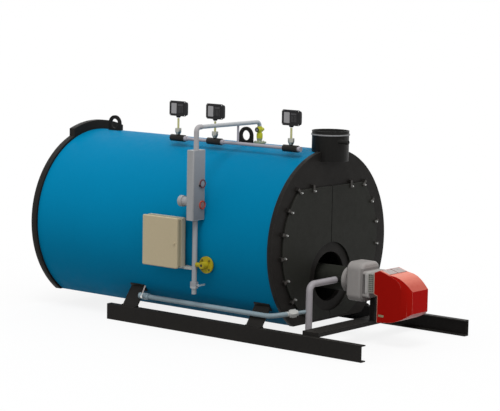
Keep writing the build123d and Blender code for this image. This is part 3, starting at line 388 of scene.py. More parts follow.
# painted light: the red's top faces take an even pale pink sheen, and its edges a continuous pale pink
# highlight
red = paint("red_cover", (0.345, 0.0070, 0.0045), rough=0.30, vary=0.03, peel=0.0003, spec=0.025,
            tint=(1.0, 0.3, 0.2), zones=[cowl_front_lit], wear_and_highlight=(0.80, 0.30, 0.24), broken=False, edge=0.003,
            dust_sheen=0.85, dust_sheen_colour=(0.92, 0.345, 0.255), dust_sheen_even=0.85)
# painted highlight: pale pink for the bead along the cowl's rear edge
trim_highlight_pink = paint("cowl_trim_highlight", (0.60, 0.32, 0.24), rough=0.35, vary=0.04)
plate_metal = metal("bare_plate", (0.34, 0.33, 0.20), rough=0.45)
vent_pale = paint("vent_panel", (0.52, 0.455, 0.435), rough=0.5, vary=0.05)
slat_pale = paint("vent_slats", (0.42, 0.365, 0.35), rough=0.5, vary=0.05)
# painted shade: dark red standing for the shade in the gaps by the cowl's vents
red_gap_shade = paint("vent_gap_shade", (0.16, 0.030, 0.026), rough=0.5, vary=0.1, spec=0.05)

# The CAD's nodes: a material for each, and rounded edges on most of them
by_node = {
    "shell_cladding": blue,
    "door_near": door_black, "door_far": door_black,
    "flue_outlet": flue_black,
    "pressure_vessel": soot, "furnace_tube": soot, "blast_tube": tube_steel,
    "burner_housing": cast_grey, "burner_cowl": red,
    "water_column": column_grey, "float_chamber": column_grey,
    "gas_valve_lever": steel, "drain_valve_lever": lever_white,
    "sight_port_upper": port_red, "sight_port_lower": port_red,
    "safety_valve": safety_yellow, "feed_valve": yellow,
    "control_box": case_beige_shaded, "control_box_door": beige,
    "gas_pipe": low_pipe_grey, "gas_valve": low_pipe_grey, "gas_riser": riser_grey,
    "column_top_pipe": top_pipe_grey, "column_drain_pipe": drain_grey, "steam_manifold": manifold_grey,
}
for place in SWITCH_PLACES:
    by_node["switch_stem_" + place] = brass
    by_node["pressure_switch_" + place] = moulded

EDGE_WIDTH = 0.002
edge_widths = {"water_column": 0.005, "control_box": 0.0015}
for name in ("shell_cladding", "pressure_vessel", "furnace_tube", "blast_tube", "gas_pipe", "gas_riser",
             "column_top_pipe", "float_chamber", "burner_cowl", "burner_housing", "control_box_door"):
    edge_widths[name] = 0.0


def soften(obj, width):
    """Rounds an object's sharp edges."""
    mod = obj.modifiers.new("bevel", "BEVEL")
    mod.width = width
    mod.segments = 2
    mod.limit_method = "ANGLE"
    mod.angle_limit = math.radians(38)
    mod.harden_normals = True
    mod.use_clamp_overlap = True


for name, obj in nodes.items():
    mat = by_node.get(name, black)
    if not obj.data.materials:
        obj.data.materials.append(mat)
    for slot in obj.material_slots:
        slot.material = mat
    width = edge_widths.get(name, EDGE_WIDTH)
    if width:
        weld = obj.modifiers.new("weld", "WELD")
        weld.merge_threshold = 0.00002
        soften(obj, width)


# Mesh helpers
def finish_mesh(name, bm, mat, body="boiler", smooth_deg=35, bevel=0.0):
    """Turns bm into a visible piece that rides on a body and wears the material mat."""
    mesh = bpy.data.meshes.new(name)
    bmesh.ops.recalc_face_normals(bm, faces=bm.faces)
    bm.to_mesh(mesh)
    bm.free()
    mesh.materials.append(mat)
    mesh.shade_smooth()
    mesh.set_sharp_from_angle(angle=math.radians(smooth_deg))
    obj = bpy.data.objects.new(name, mesh)
    bpy.context.scene.collection.objects.link(obj)
    if bevel:
        soften(obj, bevel)
    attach(obj, body)
    return obj


def circle(bm, centre, radius, side, other, count):
    """Adds a ring of vertices about centre, in the plane of side and other."""
    turns = [2 * math.pi * k / count for k in range(count)]
    return [bm.verts.new(centre + radius * (math.cos(t) * side + math.sin(t) * other)) for t in turns]


def skin(bm, rings):
    """Joins each ring of vertices to the next one."""
    for a, b in zip(rings, rings[1:]):
        count = max(len(a), len(b))
        for k in range(count):
            n = (k + 1) % count
            if len(a) == 1:
                bm.faces.new((a[0], b[k], b[n]))
            elif len(b) == 1:
                bm.faces.new((a[k], a[n], b[0]))
            else:
                bm.faces.new((a[k], a[n], b[n], b[k]))


def loft(bm, rings):
    """Adds a closed form through rings of vertices."""
    skin(bm, rings)
    bm.faces.new(rings[0])
    bm.faces.new(rings[-1][::-1])


def turned(bm, base, direction, profile, segments=32):
    """Adds a turned form: profile is (distance along, radius) pairs from base along direction."""
    direction = Vector(direction).normalized()
    side = direction.orthogonal().normalized()
    other = direction.cross(side)
    rings = []
    for along, radius in profile:
        centre = Vector(base) + direction * along
        if radius:
            rings.append(circle(bm, centre, radius, side, other, segments))
        else:
            rings.append([bm.verts.new(centre)])
    skin(bm, rings)


def head(radius, height, cut_along, cut_in):
    """Profile of a screw's or stud's head, chamfered at its outer edge."""
    return [(0, radius), (height - cut_along, radius), (height, radius - cut_in), (height, 0)]


def disc(radius, height):
    """Profile of a flat round disc."""
    return [(0, radius), (height, radius), (height, 0)]


def four_around(centre, u, v, radius):
    """Four points on a circle about centre, on the diagonals between u and v."""
    turns = [math.radians(45 + 90 * k) for k in range(4)]
    return [centre + radius * (math.cos(t) * u + math.sin(t) * v) for t in turns]


def box_faces(bm, corners):
    v = [bm.verts.new(corner) for corner in corners]
    for face in ((0, 1, 3, 2), (4, 6, 7, 5), (0, 4, 5, 1), (2, 3, 7, 6), (0, 2, 6, 4), (1, 5, 7, 3)):
        bm.faces.new([v[i] for i in face])


def block(bm, a, b):
    """Adds a block along the axes between two opposite corners."""
    box_faces(bm, [(x, y, z) for x in (a.x, b.x) for y in (a.y, b.y) for z in (a.z, b.z)])


def bar(bm, start, end, across, width, thick, lift):
    """Adds a flat bar from start to end, lying on a face whose outward direction is lift."""
    across, lift = Vector(across).normalized(), Vector(lift).normalized()
    box_faces(bm, [p + across * a * width / 2 + lift * h
                   for p in (start, end) for a in (-1, 1) for h in (0, thick)])


def rounded(half_u, half_v, radius, steps):
    """Outline of a rectangle with round corners, whose centres stand half_u and half_v from its middle."""
    outline = []
    for sign_u, sign_v, first in ((1, 1, 0), (-1, 1, 90), (-1, -1, 180), (1, -1, 270)):
        for k in range(steps + 1):
            a = math.radians(first + 90 * k / steps)
            outline.append((sign_u * half_u + radius * math.cos(a), sign_v * half_v + radius * math.sin(a)))
    return outline


def panel(bm, origin, u, v, width, height, corner, thick):
    """Adds a plate with rounded corners, centred on origin, along u and v, standing out along u x v."""
    u, v = Vector(u).normalized(), Vector(v).normalized()
    out = u.cross(v)
    outline = rounded(width / 2 - corner, height / 2 - corner, corner, steps=5)
    loft(bm, [[bm.verts.new(origin + u * x + v * y + out * h) for x, y in outline] for h in (0, thick)])


def bead(bm, points, radius, closed=False):
    """Adds a weld bead along points, with the small swells that each stroke leaves."""
    stroke, sides, upright = 0.014, 6, 0.9
    legs = list(zip(points, points[1:] + points[:1])) if closed else list(zip(points, points[1:]))
    steps = []
    for a, b in legs:
        n = max(1, round((b - a).length / stroke))
        steps += [a.lerp(b, k / n) for k in range(n)]
    if not closed:
        steps.append(points[-1])
    rings = []
    for i, p in enumerate(steps):
        after = steps[(i + 1) % len(steps)] if closed or i + 1 < len(steps) else p
        before = steps[i - 1] if closed or i > 0 else p
        along = (after - before).normalized()
        side = along.orthogonal().normalized()
        if abs(along.z) < upright:
            side = along.cross(UP).normalized()
        swell = 1.0 + 0.16 * math.sin(i * 2.4) + 0.10 * math.sin(i * 5.1)
        rings.append(circle(bm, p, radius * swell, side, along.cross(side), sides))
    if closed:
        skin(bm, rings + rings[:1])
    else:
        loft(bm, rings)


# Door clamps: a dog from each lug to its nut, and the stud's end in the nut
DOOR_FACE_Y = -0.060
AXIS_Z = 0.790
CLAMP_R = 0.663
CLAMP_ANGLES = (46.5, 29.3, 12.0, -5.0, -22.3, -39.6)
TOP_NUT_X, TOP_NUT_Z = 0.270, 1.273
NUT_DEPTH = 0.0215
DOG_REACH, TOP_DOG_REACH = 0.046, 0.050
DOG_BACK, DOG_W, DOG_T = 0.014, 0.022, 0.0085
STUD_END = head(0.0065, 0.0065, 0.0015, 0.0015)
studs, dogs = bmesh.new(), bmesh.new()


def clamp(nut, out, reach):
    """Adds one clamp's stud end and its dog, which reaches out from the nut."""
    turned(studs, nut + FRONT * NUT_DEPTH, FRONT, STUD_END, segments=12)
    bar(dogs, nut - out * DOG_BACK, nut + out * reach, out.cross(FRONT), DOG_W, DOG_T, FRONT)


for side in (-1, 1):
    for angle in CLAMP_ANGLES:
        a = math.radians(angle)
        out = Vector((side * math.cos(a), 0, math.sin(a)))
        clamp(at(0, DOOR_FACE_Y, AXIS_Z) + out * CLAMP_R, out, DOG_REACH)
    clamp(at(side * TOP_NUT_X, DOOR_FACE_Y, TOP_NUT_Z), UP, TOP_DOG_REACH)
finish_mesh("door_studs", studs, steel)
finish_mesh("clamp_dogs", dogs, dog_steel, bevel=0.0015)

# Gap between the two doors, above the burner's hole: a near black strip painted as the shade in it
GAP_HALF, GAP_PROUD, GAP_LOW_Z, GAP_HIGH_Z = 0.0035, 0.0006, 0.812, 1.292
door_gap_shade = bmesh.new()
block(door_gap_shade, at(-GAP_HALF, DOOR_FACE_Y - GAP_PROUD, GAP_LOW_Z), at(GAP_HALF, DOOR_FACE_Y, GAP_HIGH_Z))
finish_mesh("door_gap_shade", door_gap_shade, gap_shade)

# Weld beads: round the rear plate, along the lifting eyes, legs and cross-beam, and round the post's foot.
# Each of a leg's beads has its x, its height and its radius.
REAR_R, REAR_Y, REAR_LOW_Z, REAR_STEPS = 0.795, 2.690, 0.167, 96
EYE_Y, EYE_X, EYE_HALF, EYE_Z = (0.900, 2.476), 0.0125, 0.072, 1.5985
LEG_Y, LEG_SPAN = (0.082, 1.488), (0.004, 0.162)
SKID_TOP_Z, FOOT_TOP_Z = 0.1415, 0.1515
LEG_BEADS = ((0.743, SKID_TOP_Z, 0.003), (0.795, SKID_TOP_Z, 0.003),
             (0.752, FOOT_TOP_Z, 0.0035), (0.7845, FOOT_TOP_Z, 0.0035))
BEAM_END_X, BEAM_SPAN = 0.7655, (-0.505, -0.350)
POST_X, POST_Y, POST_Z = (0.0095, 0.0605), (-0.5215, -0.4705), 0.1775
FINE_BEAD, EYE_BEAD, REAR_BEAD = 0.003, 0.0035, 0.0045
welds = bmesh.new()
rim = []
below = math.asin((AXIS_Z - REAR_LOW_Z) / REAR_R)
for k in range(REAR_STEPS + 1):
    t = -below + (math.pi + 2 * below) * k / REAR_STEPS
    rim.append(at(REAR_R * math.cos(t), REAR_Y, AXIS_Z + REAR_R * math.sin(t)))
bead(welds, rim, REAR_BEAD, closed=True)
for y in EYE_Y:
    for side in (-1, 1):
        bead(welds, [at(side * EYE_X, y - EYE_HALF, EYE_Z), at(side * EYE_X, y + EYE_HALF, EYE_Z)], EYE_BEAD)
for side in (-1, 1):
    for y in LEG_Y:
        for x, z, radius in LEG_BEADS:
            bead(welds, [at(side * x, y + step, z) for step in LEG_SPAN], radius)
    bead(welds, [at(side * BEAM_END_X, y, SKID_TOP_Z) for y in BEAM_SPAN], FINE_BEAD)
bead(welds, [at(POST_X[0], POST_Y[0], POST_Z), at(POST_X[1], POST_Y[0], POST_Z),
             at(POST_X[1], POST_Y[1], POST_Z), at(POST_X[0], POST_Y[1], POST_Z)], FINE_BEAD, closed=True)
finish_mesh("weld_beads", welds, black, smooth_deg=80)

# Rolled lip on the flue's rim
FLUE_Y, FLUE_TOP_Z, LIP_DEPTH = -0.025, 1.772, 0.004
LIP_PROFILE = ((0.0, 0.1590), (0.0, 0.1618), (0.0015, 0.1626), (0.0035, 0.1618), (0.0038, 0.1590),
               (0.0038, 0.1545), (0.0, 0.1545))
lip = bmesh.new()
turned(lip, at(0, FLUE_Y, FLUE_TOP_Z - LIP_DEPTH), UP, LIP_PROFILE, segments=72)
finish_mesh("flue_lip", lip, flue_black, smooth_deg=50)

# Pressure switches: bezel, rear case, clear window, ribbed terminal cover, socket and cover screws
SWITCH_LOW_Z, CASE_SHIFT = 1.8165, -0.006
CASE_W, CASE_H, CASE_ROUND = 0.190, 0.134, 0.018
BEZEL_X, BEZEL_D = -0.323, 0.016
REAR_W, REAR_H, REAR_D, REAR_ROUND = CASE_W - 0.008, CASE_H - 0.016, 0.024, CASE_ROUND - 0.004
REAR_DROP, REAR_OVERLAP = 0.001, 0.002
SOCKET_X, SOCKET_R, SOCKET_H, SOCKET_OVERLAP = -0.300, 0.021, 0.0200, 0.004
WINDOW_Y, WINDOW_W, COVER_Y, COVER_W, GLAZED_H = 0.040, 0.060, -0.034, 0.070, 0.092
RIB_Y, RIB_STEP, RIB_HALF = -0.010, 0.0160, 0.0028
RIB_SPAN_X, RIB_SPAN_Z = (-0.0032, -0.0005), (-0.036, 0.020)
RIBS, SIDE_RIBS = 4, 3
STRIP_X, STRIP_Z, STRIP_W, STRIP_H = -0.0008, 0.032, 0.058, 0.015
SIDE_RIB_X, SIDE_RIB_STEP, SIDE_RIB_W, SIDE_RIB_SPAN_Z = 0.005, 0.0075, 0.0034, (-0.042, 0.040)
SIDE_RIB_SPAN_Y = (0.0026, 0.0048)
SCREW_Y, SCREW_Z = 0.085, 0.058
CASE_SCREW = head(0.0042, 0.0018, 0.0006, 0.0012)
SOCKET_PROFILE = ((0, SOCKET_R), (SOCKET_H * 0.6, SOCKET_R), (SOCKET_H, SOCKET_R * 0.6), (SOCKET_H, 0))
windows, covers, ribs, screws = bmesh.new(), bmesh.new(), bmesh.new(), bmesh.new()
for place, y in zip(SWITCH_PLACES, SWITCH_Y):
    middle_y, middle_z = y + CASE_SHIFT, SWITCH_LOW_Z + CASE_H / 2
    case = bmesh.new()
    panel(case, at(BEZEL_X + BEZEL_D, middle_y, middle_z), FRONT, UP, CASE_W, CASE_H,
          corner=CASE_ROUND, thick=BEZEL_D)
    panel(case, at(BEZEL_X + BEZEL_D + REAR_D, middle_y, middle_z - REAR_DROP), FRONT, UP, REAR_W, REAR_H,
          corner=REAR_ROUND, thick=REAR_D + REAR_OVERLAP)
    turned(case, at(SOCKET_X, y, SWITCH_LOW_Z + SOCKET_OVERLAP), -UP, SOCKET_PROFILE, segments=24)
    whole_case = finish_mesh("switch_case_" + place, case, moulded, bevel=0.0025)
    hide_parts("pressure_switch_" + place)
    panel(windows, at(BEZEL_X, middle_y + WINDOW_Y, middle_z), FRONT, UP, WINDOW_W, GLAZED_H,
          corner=0.006, thick=0.0018)
    panel(covers, at(BEZEL_X, middle_y + COVER_Y, middle_z), FRONT, UP, COVER_W, GLAZED_H,
          corner=0.006, thick=0.0010)
    for k in range(RIBS):
        rib_y = middle_y + RIB_Y - RIB_STEP * k
        block(ribs, at(BEZEL_X + RIB_SPAN_X[0], rib_y - RIB_HALF, middle_z + RIB_SPAN_Z[0]),
              at(BEZEL_X + RIB_SPAN_X[1], rib_y + RIB_HALF, middle_z + RIB_SPAN_Z[1]))
    panel(ribs, at(BEZEL_X + STRIP_X, middle_y + COVER_Y, middle_z + STRIP_Z), FRONT, UP, STRIP_W, STRIP_H,
          corner=0.003, thick=0.0026)
    side_y = middle_y - CASE_W / 2
    for k in range(SIDE_RIBS):
        side_x = BEZEL_X + BEZEL_D + SIDE_RIB_X + SIDE_RIB_STEP * k
        block(ribs, at(side_x, side_y + SIDE_RIB_SPAN_Y[0], middle_z + SIDE_RIB_SPAN_Z[0]),
              at(side_x + SIDE_RIB_W, side_y + SIDE_RIB_SPAN_Y[1], middle_z + SIDE_RIB_SPAN_Z[1]))
    for dy in (-SCREW_Y, SCREW_Y):
        for dz in (-SCREW_Z, SCREW_Z):
            turned(screws, at(BEZEL_X, middle_y + dy, middle_z + dz), NEAR, CASE_SCREW, segments=10)
finish_mesh("switch_windows", windows, window_clear, bevel=0.0006)
finish_mesh("switch_covers", covers, moulded, bevel=0.0006)
finish_mesh("switch_ribs", ribs, rib_grey, bevel=0.0008)
finish_mesh("switch_screws", screws, steel)

# Burner housing: front end beyond the solid's face, rounded in plan and chamfered at its edge.
# Each ring of it has its place along y and how far it is drawn in.
BURNER_Z = 0.509
HOUSING_W, HOUSING_TOP, HOUSING_LOW, HOUSING_ROUND = 0.130, 0.172, 0.163, 0.062
HOUSING_RINGS = ((-0.4400, 0.002), (-0.4501, 0.0), (-0.4640, 0.0), (-0.4780, 0.006), (-0.4870, 0.020),
                 (-0.4872, 0.030))
housing_z = BURNER_Z + (HOUSING_TOP - HOUSING_LOW) / 2
half_w, half_h = HOUSING_W - HOUSING_ROUND, (HOUSING_TOP + HOUSING_LOW) / 2 - HOUSING_ROUND
nose = bmesh.new()
rings = []
for y, inset in HOUSING_RINGS:
    outline = rounded(half_w, half_h, HOUSING_ROUND - inset, steps=8)
    rings.append([nose.verts.new(at(x, y, housing_z + z)) for x, z in outline])
loft(nose, rings)
finish_mesh("housing_nose", nose, cast_grey, smooth_deg=40)

# Burner throat: painted shade strips for its grooves, a bar, and a grille with painted shade discs for its
# holes, on both sides
THROAT_X = 0.122
GROOVE_Y, GROOVE_HALF, GROOVE_PROUD = (-0.4930, -0.5060), 0.0040, 0.0008
GROOVE_LOW_Z, GROOVE_HIGH_Z = 0.425, 0.592
BAR_Y, BAR_Z, BAR_W, THROAT_H = -0.526, 0.515, 0.024, 0.160
GRILLE_Y, GRILLE_Z, GRILLE_W = -0.5765, 0.522, 0.058
HOLE_PROUD, HOLE_Y, HOLE_Z, HOLE_STEP, HOLES_ALONG, HOLES_UP = 0.0020, -0.5570, 0.454, 0.0170, 3, 9
HOLE_PROFILE = disc(0.0058, 0.0005)
groove_shades, bars, grille, hole_shades = bmesh.new(), bmesh.new(), bmesh.new(), bmesh.new()
for side in (-1, 1):
    x = side * THROAT_X
    for y in GROOVE_Y:
        block(groove_shades, at(x, y - GROOVE_HALF, GROOVE_LOW_Z),
              at(x + side * GROOVE_PROUD, y + GROOVE_HALF, GROOVE_HIGH_Z))
    panel(bars, at(x, BAR_Y, BAR_Z), (0, side, 0), UP, BAR_W, THROAT_H, corner=0.004, thick=0.005)
    panel(grille, at(x, GRILLE_Y, GRILLE_Z), (0, side, 0), UP, GRILLE_W, THROAT_H,
          corner=0.004, thick=0.0022)
    for i in range(HOLES_ALONG):
        for k in range(HOLES_UP):
            hole = at(x + side * HOLE_PROUD, HOLE_Y - HOLE_STEP * i, HOLE_Z + HOLE_STEP * k)
            turned(hole_shades, hole, (side, 0, 0), HOLE_PROFILE, segments=8)
finish_mesh("throat_groove_shades", groove_shades, recess_shade)
finish_mesh("throat_bars", bars, bar_grey, bevel=0.0012)
finish_mesh("throat_grille", grille, grille_grey, bevel=0.0008)
finish_mesh("throat_hole_shades", hole_shades, recess_shade)

# Cowl: a cover lofted through its cross-sections, from the burner's throat to the nose.
# Each station gives y, half width, side crease, half top width, top height and bottom height.
COWL_X = 0.142
BELLY_Y, BELLY_Z, BELLY_R = -0.685, 0.7078, 0.504


def belly(y):
    """Height of the cowl's round underside."""
    return BELLY_Z - math.sqrt(BELLY_R ** 2 - (y - BELLY_Y) ** 2)


COWL = (
    (-0.6203, COWL_X, 0.619, 0.1400, 0.622, 0.440),
    (-0.6400, COWL_X, 0.6275, 0.1400, 0.6305, 0.432),
    (-0.6537, COWL_X, 0.633, 0.1398, 0.6362, 0.427),
    (-0.6540, COWL_X, 0.633, 0.1398, 0.6362, 0.201),
    (-0.6750, COWL_X, 0.6415, 0.1395, 0.645, 0.203),
    (-0.7000, COWL_X, 0.635, 0.1390, 0.638, 0.2056),
    (-0.7300, COWL_X, 0.626, 0.1380, 0.629, 0.2087),
    (-0.7660, COWL_X, 0.613, 0.1360, 0.618, 0.2124),
    (-0.7910, COWL_X, 0.604, 0.1345, 0.614, 0.2150),
    (-0.8310, COWL_X, 0.588, 0.1320, 0.608, belly(-0.8310)),
    (-0.8680, COWL_X, 0.562, 0.1290, 0.595, belly(-0.8680)),
    (-0.8880, COWL_X, 0.530, 0.1270, 0.5840, belly(-0.8880)),
    (-0.9090, COWL_X, 0.490, 0.1250, 0.5710, belly(-0.9090)),
    (-0.9300, COWL_X, 0.477, 0.1220, 0.5560, belly(-0.9300)),
    (-0.9540, COWL_X, 0.474, 0.1180, 0.5350, belly(-0.9540)),
    (-0.9920, 0.115, 0.495, 0.1130, 0.4975, belly(-0.9920)),
)
cowl = bmesh.new()
rings = []
for y, half, crease, top_half, top, bottom in COWL:
    outline = ((-half, bottom), (-half, crease), (-top_half, top),
               (top_half, top), (half, crease), (half, bottom))
    rings.append([cowl.verts.new(at(x, y, z)) for x, z in outline])
loft(cowl, rings)
cover = finish_mesh("burner_cover", cowl, red, smooth_deg=22, bevel=0.002)
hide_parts("burner_cowl")

# Cowl trim: bead down its rear edge on both sides, painted pale pink as a highlight
TRIM_PATH = ((-0.6215, 0.618), (-0.6215, 0.441), (-0.6553, 0.4265), (-0.6553, 0.204))
TRIM_W, TRIM_T, TRIM_CLEAR = 0.0032, 0.0016, 0.0002
trim = bmesh.new()
for side in (-1, 1):
    path = [at(side * (COWL_X + TRIM_CLEAR), y, z) for y, z in TRIM_PATH]
    for a, b in zip(path, path[1:]):
        bar(trim, a, b, (b - a).cross(NEAR), TRIM_W, TRIM_T, (side, 0, 0))
finish_mesh("cowl_trim_highlight", trim, trim_highlight_pink, bevel=0.0005)

# Small bare plate low on the cowl's near side
PLATE_Y, PLATE_Z, PLATE_W, PLATE_H = -0.6965, 0.2625, 0.055, 0.019
plate = bmesh.new()
panel(plate, at(-COWL_X, PLATE_Y, PLATE_Z), FRONT, UP, PLATE_W, PLATE_H, corner=0.002, thick=0.0010)
finish_mesh("bare_plate", plate, plate_metal, bevel=0.0003)

# Two slatted vent panels and dark strips beside them, painted as the shade in the gaps, sloping as the
# cowl's top does between its stations at -0.675 and -0.766
VENT_Y, VENT_Z, VENT_X, VENT_W, VENT_L = -0.7225, 0.6310, (-0.0645, 0.0665), 0.118, 0.082
VENT_DROP, VENT_RUN = 0.645 - 0.618, 0.766 - 0.675
SLATS, SLAT_STEP, SLAT_W, SLAT_T, SLAT_MARGIN, SLAT_PROUD = 5, 0.013, 0.0026, 0.0010, 0.012, 0.0020
MIDDLE_GAP_X, MIDDLE_GAP_W, MIDDLE_GAP_T = 0.0010, 0.0105, 0.0012
END_GAP_AT, END_GAP_HALF, END_GAP_W, END_GAP_T = 0.0434, 0.127, 0.0042, 0.0010
slope = math.atan2(VENT_DROP, VENT_RUN)
along = Vector((0, math.cos(slope), math.sin(slope)))
lift = Vector((0, -math.sin(slope), math.cos(slope)))
vents, slats, gaps = bmesh.new(), bmesh.new(), bmesh.new()
for x in VENT_X:
    panel(vents, at(x, VENT_Y, VENT_Z), -NEAR, along, VENT_W, VENT_L, corner=0.004, thick=0.0022)
    for k in range(SLATS):
        middle = at(x, VENT_Y, VENT_Z) + along * (SLAT_STEP * (k - SLATS // 2)) + lift * SLAT_PROUD
        reach = NEAR * (VENT_W / 2 - SLAT_MARGIN)
        bar(slats, middle + reach, middle - reach, along, SLAT_W, SLAT_T, lift)
middle = at(MIDDLE_GAP_X, VENT_Y, VENT_Z)
bar(gaps, middle - along * VENT_L / 2, middle + along * VENT_L / 2, NEAR, MIDDLE_GAP_W, MIDDLE_GAP_T, lift)
for end in (-1, 1):
    end_gap = middle + along * (END_GAP_AT * end)
    reach = NEAR * END_GAP_HALF
    bar(gaps, end_gap + reach, end_gap - reach, along, END_GAP_W, END_GAP_T, lift)
finish_mesh("vent_gap_shade", gaps, red_gap_shade)
finish_mesh("cowl_vents", vents, vent_pale, bevel=0.0006)
finish_mesh("cowl_slats", slats, slat_pale)

# Sight glasses in the column's ports
PORT_X, PORT_FACE_Y, PORT_Z = -0.8221, 0.7070, (1.312, 1.130)
GLASS_PROFILE = ((0, 0.0286), (0.0012, 0.0284), (0.0028, 0.022), (0.0036, 0.012), (0.0038, 0))
glass = bmesh.new()
for z in PORT_Z:
    turned(glass, at(PORT_X, PORT_FACE_Y, z), FRONT, GLASS_PROFILE)
finish_mesh("sight_glasses", glass, glass_grey, smooth_deg=60)

# Column: cover screws by each port, a small gauge stub above, and the face panel
PORT_SCREW_Y, PORT_SCREW_R = 0.7020, 0.033
PORT_SCREW = head(0.0036, 0.0028, 0.0006, 0.0010)
COLUMN_X = -0.860
FACE_PLACE, FACE_W, FACE_H = (COLUMN_X, 0.7122, 1.301), 0.142, 0.588
STUB_PLACE = (COLUMN_X, 0.7120, 1.298)
STUB_PROFILE = ((0, 0.010), (0.006, 0.010), (0.007, 0.0085), (0.012, 0.0085), (0.012, 0))
column_bits = bmesh.new()
for z in PORT_Z:
    for place in four_around(at(PORT_X, PORT_SCREW_Y, z), -NEAR, UP, PORT_SCREW_R):
        turned(column_bits, place, FRONT, PORT_SCREW, segments=6)
turned(column_bits, at(*STUB_PLACE), FRONT, STUB_PROFILE, segments=6)
finish_mesh("column_bits", column_bits, moulded)
column_face = bmesh.new()
panel(column_face, at(*FACE_PLACE), -NEAR, UP, FACE_W, FACE_H, corner=0.004, thick=0.0012)
finish_mesh("column_face", column_face, column_front, bevel=0.0005)

# Control box: rear frame of the case, a little behind its side
FRAME_LOW, FRAME_HIGH = (-0.8550, 0.8720, 0.5795), (-0.8430, 1.2600, 1.0055)
box_frame = bmesh.new()
block(box_frame, at(*FRAME_LOW), at(*FRAME_HIGH))
finish_mesh("box_frame", box_frame, case_beige_shaded, bevel=0.0015)

# Feed valve: flange bolts, spindle hole, and a near black disc painted as the shade in its bore
FEED_X, FEED_Y, FEED_Z, FEED_FACE_X, FEED_BOLT_R = -0.8205, 0.660, 0.618, -0.8803, 0.054
FEED_BOLT_PROFILE = ((0, 0.0095), (0.007, 0.0095), (0.0085, 0.008), (0.0085, 0.005), (0.012, 0.005),
                     (0.012, 0))
SPINDLE_PROFILE = ((0, 0.024), (0.003, 0.024), (0.003, 0.013), (-0.001, 0.013), (-0.001, 0))
FEED_BORE_PROFILE = disc(0.0128, 0.0006)
feed_bolts, feed_spindle, feed_bore_shade = bmesh.new(), bmesh.new(), bmesh.new()
for place in four_around(at(FEED_X, FEED_Y, FEED_Z), -FRONT, UP, FEED_BOLT_R):
    turned(feed_bolts, place, NEAR, FEED_BOLT_PROFILE, segments=6)
feed_face = at(FEED_FACE_X, FEED_Y, FEED_Z)
turned(feed_spindle, feed_face, NEAR, SPINDLE_PROFILE, segments=20)
turned(feed_bore_shade, feed_face, NEAR, FEED_BORE_PROFILE, segments=20)
finish_mesh("feed_bore_shade", feed_bore_shade, recess_shade)
finish_mesh("feed_bolts", feed_bolts, bolt_dark)
finish_mesh("feed_spindle", feed_spindle, yellow)

# Safety valve: base flange with its bolts, body sleeve, and the outlet's ring and bore
SAFETY_Y = 0.752
BASE_PLACE, SLEEVE_PLACE = (0.010, SAFETY_Y, 1.6050), (0.003, SAFETY_Y, 1.6300)
OUTLET_PLACE, BORE_PLACE = (-0.0358, SAFETY_Y, 1.725), (-0.0364, SAFETY_Y, 1.725)
BOLT_CIRCLE_PLACE, BOLT_CIRCLE_R = (0, SAFETY_Y, 1.6202), 0.036
SAFETY_BOLT = head(0.0075, 0.007, 0.001, 0.001)
BORE_PROFILE = head(0.0118, 0.0014, 0.0004, 0.0018)
BASE_PROFILE = ((0, 0), (0, 0.054), (0.0015, 0.0555), (0.0110, 0.0555), (0.0125, 0.054), (0.0125, 0))
SLEEVE_PROFILE = ((0, 0), (0, 0.0240), (0.008, 0.0240), (0.020, 0.0270), (0.050, 0.0275), (0.064, 0.0250),
                  (0.064, 0))
OUTLET_PROFILE = ((0, 0.0218), (0.0030, 0.0218), (0.0042, 0.0205), (0.0042, 0.0130), (0.0006, 0.0120),
                  (0.0006, 0))
safety_base, sleeve, safety_bolts = bmesh.new(), bmesh.new(), bmesh.new()
outlet, bore = bmesh.new(), bmesh.new()
turned(safety_base, at(*BASE_PLACE), UP, BASE_PROFILE, segments=40)
turned(sleeve, at(*SLEEVE_PLACE), UP, SLEEVE_PROFILE)
for place in four_around(at(*BOLT_CIRCLE_PLACE), -NEAR, -FRONT, BOLT_CIRCLE_R):
    turned(safety_bolts, place, UP, SAFETY_BOLT, segments=6)
turned(outlet, at(*OUTLET_PLACE), NEAR, OUTLET_PROFILE, segments=28)
turned(bore, at(*BORE_PLACE), NEAR, BORE_PROFILE, segments=20)
finish_mesh("safety_base", safety_base, flange_green)
finish_mesh("safety_sleeve", sleeve, safety_yellow)
finish_mesh("safety_bolts", safety_bolts, steel)
finish_mesh("safety_outlet", outlet, outlet_dark)
finish_mesh("safety_bore", bore, outlet_grey)

# Gas valve: moulded grip on the lever's end
LEVER_LEAN = math.radians(24.0)
TIP_X, TIP_Y, TIP_Z = 0.0008, 0.0050, 0.0020
GRIP_BACK, GRIP_REACH, GRIP_W, GRIP_T = 0.045, 0.028, 0.0125, 0.0066
lever_low, lever_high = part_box("gas_valve_lever")
tip = Vector((lever_low[0] - TIP_X, lever_low[1] + TIP_Y, lever_high[2] - TIP_Z))
lever_way = Vector((0, -math.sin(LEVER_LEAN), math.cos(LEVER_LEAN)))
grip = bmesh.new()
bar(grip, tip - lever_way * GRIP_BACK, tip + lever_way * GRIP_REACH, lever_way.cross(NEAR),
    GRIP_W, GRIP_T, -NEAR)
finish_mesh("gas_lever_grip", grip, grip_pale, body="gas_lever", bevel=0.0012)


# Floor, pale where the camera or a reflection sees it, and darker where it lights the boiler from below
def any_ray(tree, *kinds):
    """One for a ray of any of these kinds."""
    path = tree.nodes.new("ShaderNodeLightPath")
    shown = path.outputs[kinds[0]]
    for kind in kinds[1:]:
        shown = maths(tree, "MAXIMUM", shown, path.outputs[kind])
    return shown


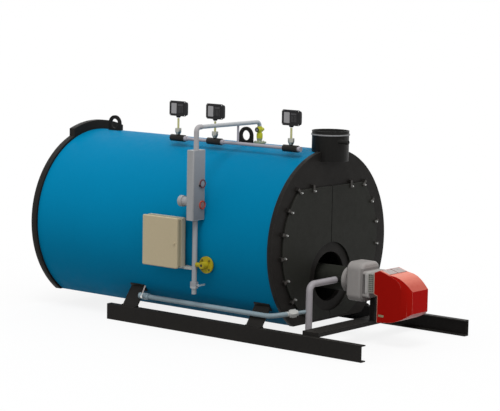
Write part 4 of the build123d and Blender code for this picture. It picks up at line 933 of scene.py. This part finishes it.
FLOOR_SIZE, FLOOR_GLOW, FLOOR_DARK = 60, 0.85, 0.30
floor_mat, tree, bsdf = new_material("floor")
coords = coordinates(tree)[0]
shown = any_ray(tree, "Is Camera Ray", "Is Glossy Ray")
pale = ramp(tree, noise(tree, coords, scale=1.5), low=0.3, high=0.7, first=0.86, last=0.88)
tree.links.new(mix(tree, shown, (FLOOR_DARK, FLOOR_DARK, FLOOR_DARK), pale), bsdf.inputs["Base Color"])
bsdf.inputs["Roughness"].default_value = 0.9
glow = tree.nodes.new("ShaderNodeEmission")
glow.inputs["Strength"].default_value = 1.0
blend = tree.nodes.new("ShaderNodeMixShader")
tree.links.new(maths(tree, "MULTIPLY", shown, FLOOR_GLOW), blend.inputs[0])
tree.links.new(bsdf.outputs[0], blend.inputs[1])
tree.links.new(glow.outputs[0], blend.inputs[2])
surface = [node for node in tree.nodes if node.type == "OUTPUT_MATERIAL"][0]
tree.links.new(blend.outputs[0], surface.inputs[0])
bm = bmesh.new()
bmesh.ops.create_grid(bm, x_segments=1, y_segments=1, size=FLOOR_SIZE)
mesh = bpy.data.meshes.new("floor")
bm.to_mesh(mesh)
bm.free()
mesh.materials.append(floor_mat)
floor = bpy.data.objects.new("floor", mesh)
bpy.context.scene.collection.objects.link(floor)

# World: soft white light, with a full white behind the boiler and in its reflections
SKY_LIGHT, SKY_SHOWN = 0.75, 1.0
world = bpy.data.worlds.new("world")
bpy.context.scene.world = world
world.use_nodes = True
tree = world.node_tree
light = tree.nodes["Background"]
white = tree.nodes.new("ShaderNodeBackground")
for node, strength in ((light, SKY_LIGHT), (white, SKY_SHOWN)):
    node.inputs["Color"].default_value = (1, 1, 1, 1)
    node.inputs["Strength"].default_value = strength
blend = tree.nodes.new("ShaderNodeMixShader")
tree.links.new(any_ray(tree, "Is Camera Ray", "Is Glossy Ray", "Is Transmission Ray"), blend.inputs[0])
tree.links.new(light.outputs[0], blend.inputs[1])
tree.links.new(white.outputs[0], blend.inputs[2])
tree.links.new(blend.outputs[0], tree.nodes["World Output"].inputs[0])

# Sun: broad and soft, from above and a little from the near front
SUN_WAY, SUN_STRENGTH, SUN_SPREAD = (0.35, 0.25, -0.90), 1.4, 25
sun_data = bpy.data.lights.new("key", "SUN")
sun_data.energy = SUN_STRENGTH
sun_data.angle = math.radians(SUN_SPREAD)
sun = bpy.data.objects.new("key", sun_data)
bpy.context.scene.collection.objects.link(sun)
sun.rotation_euler = Vector(SUN_WAY).to_track_quat("-Z", "Y").to_euler()
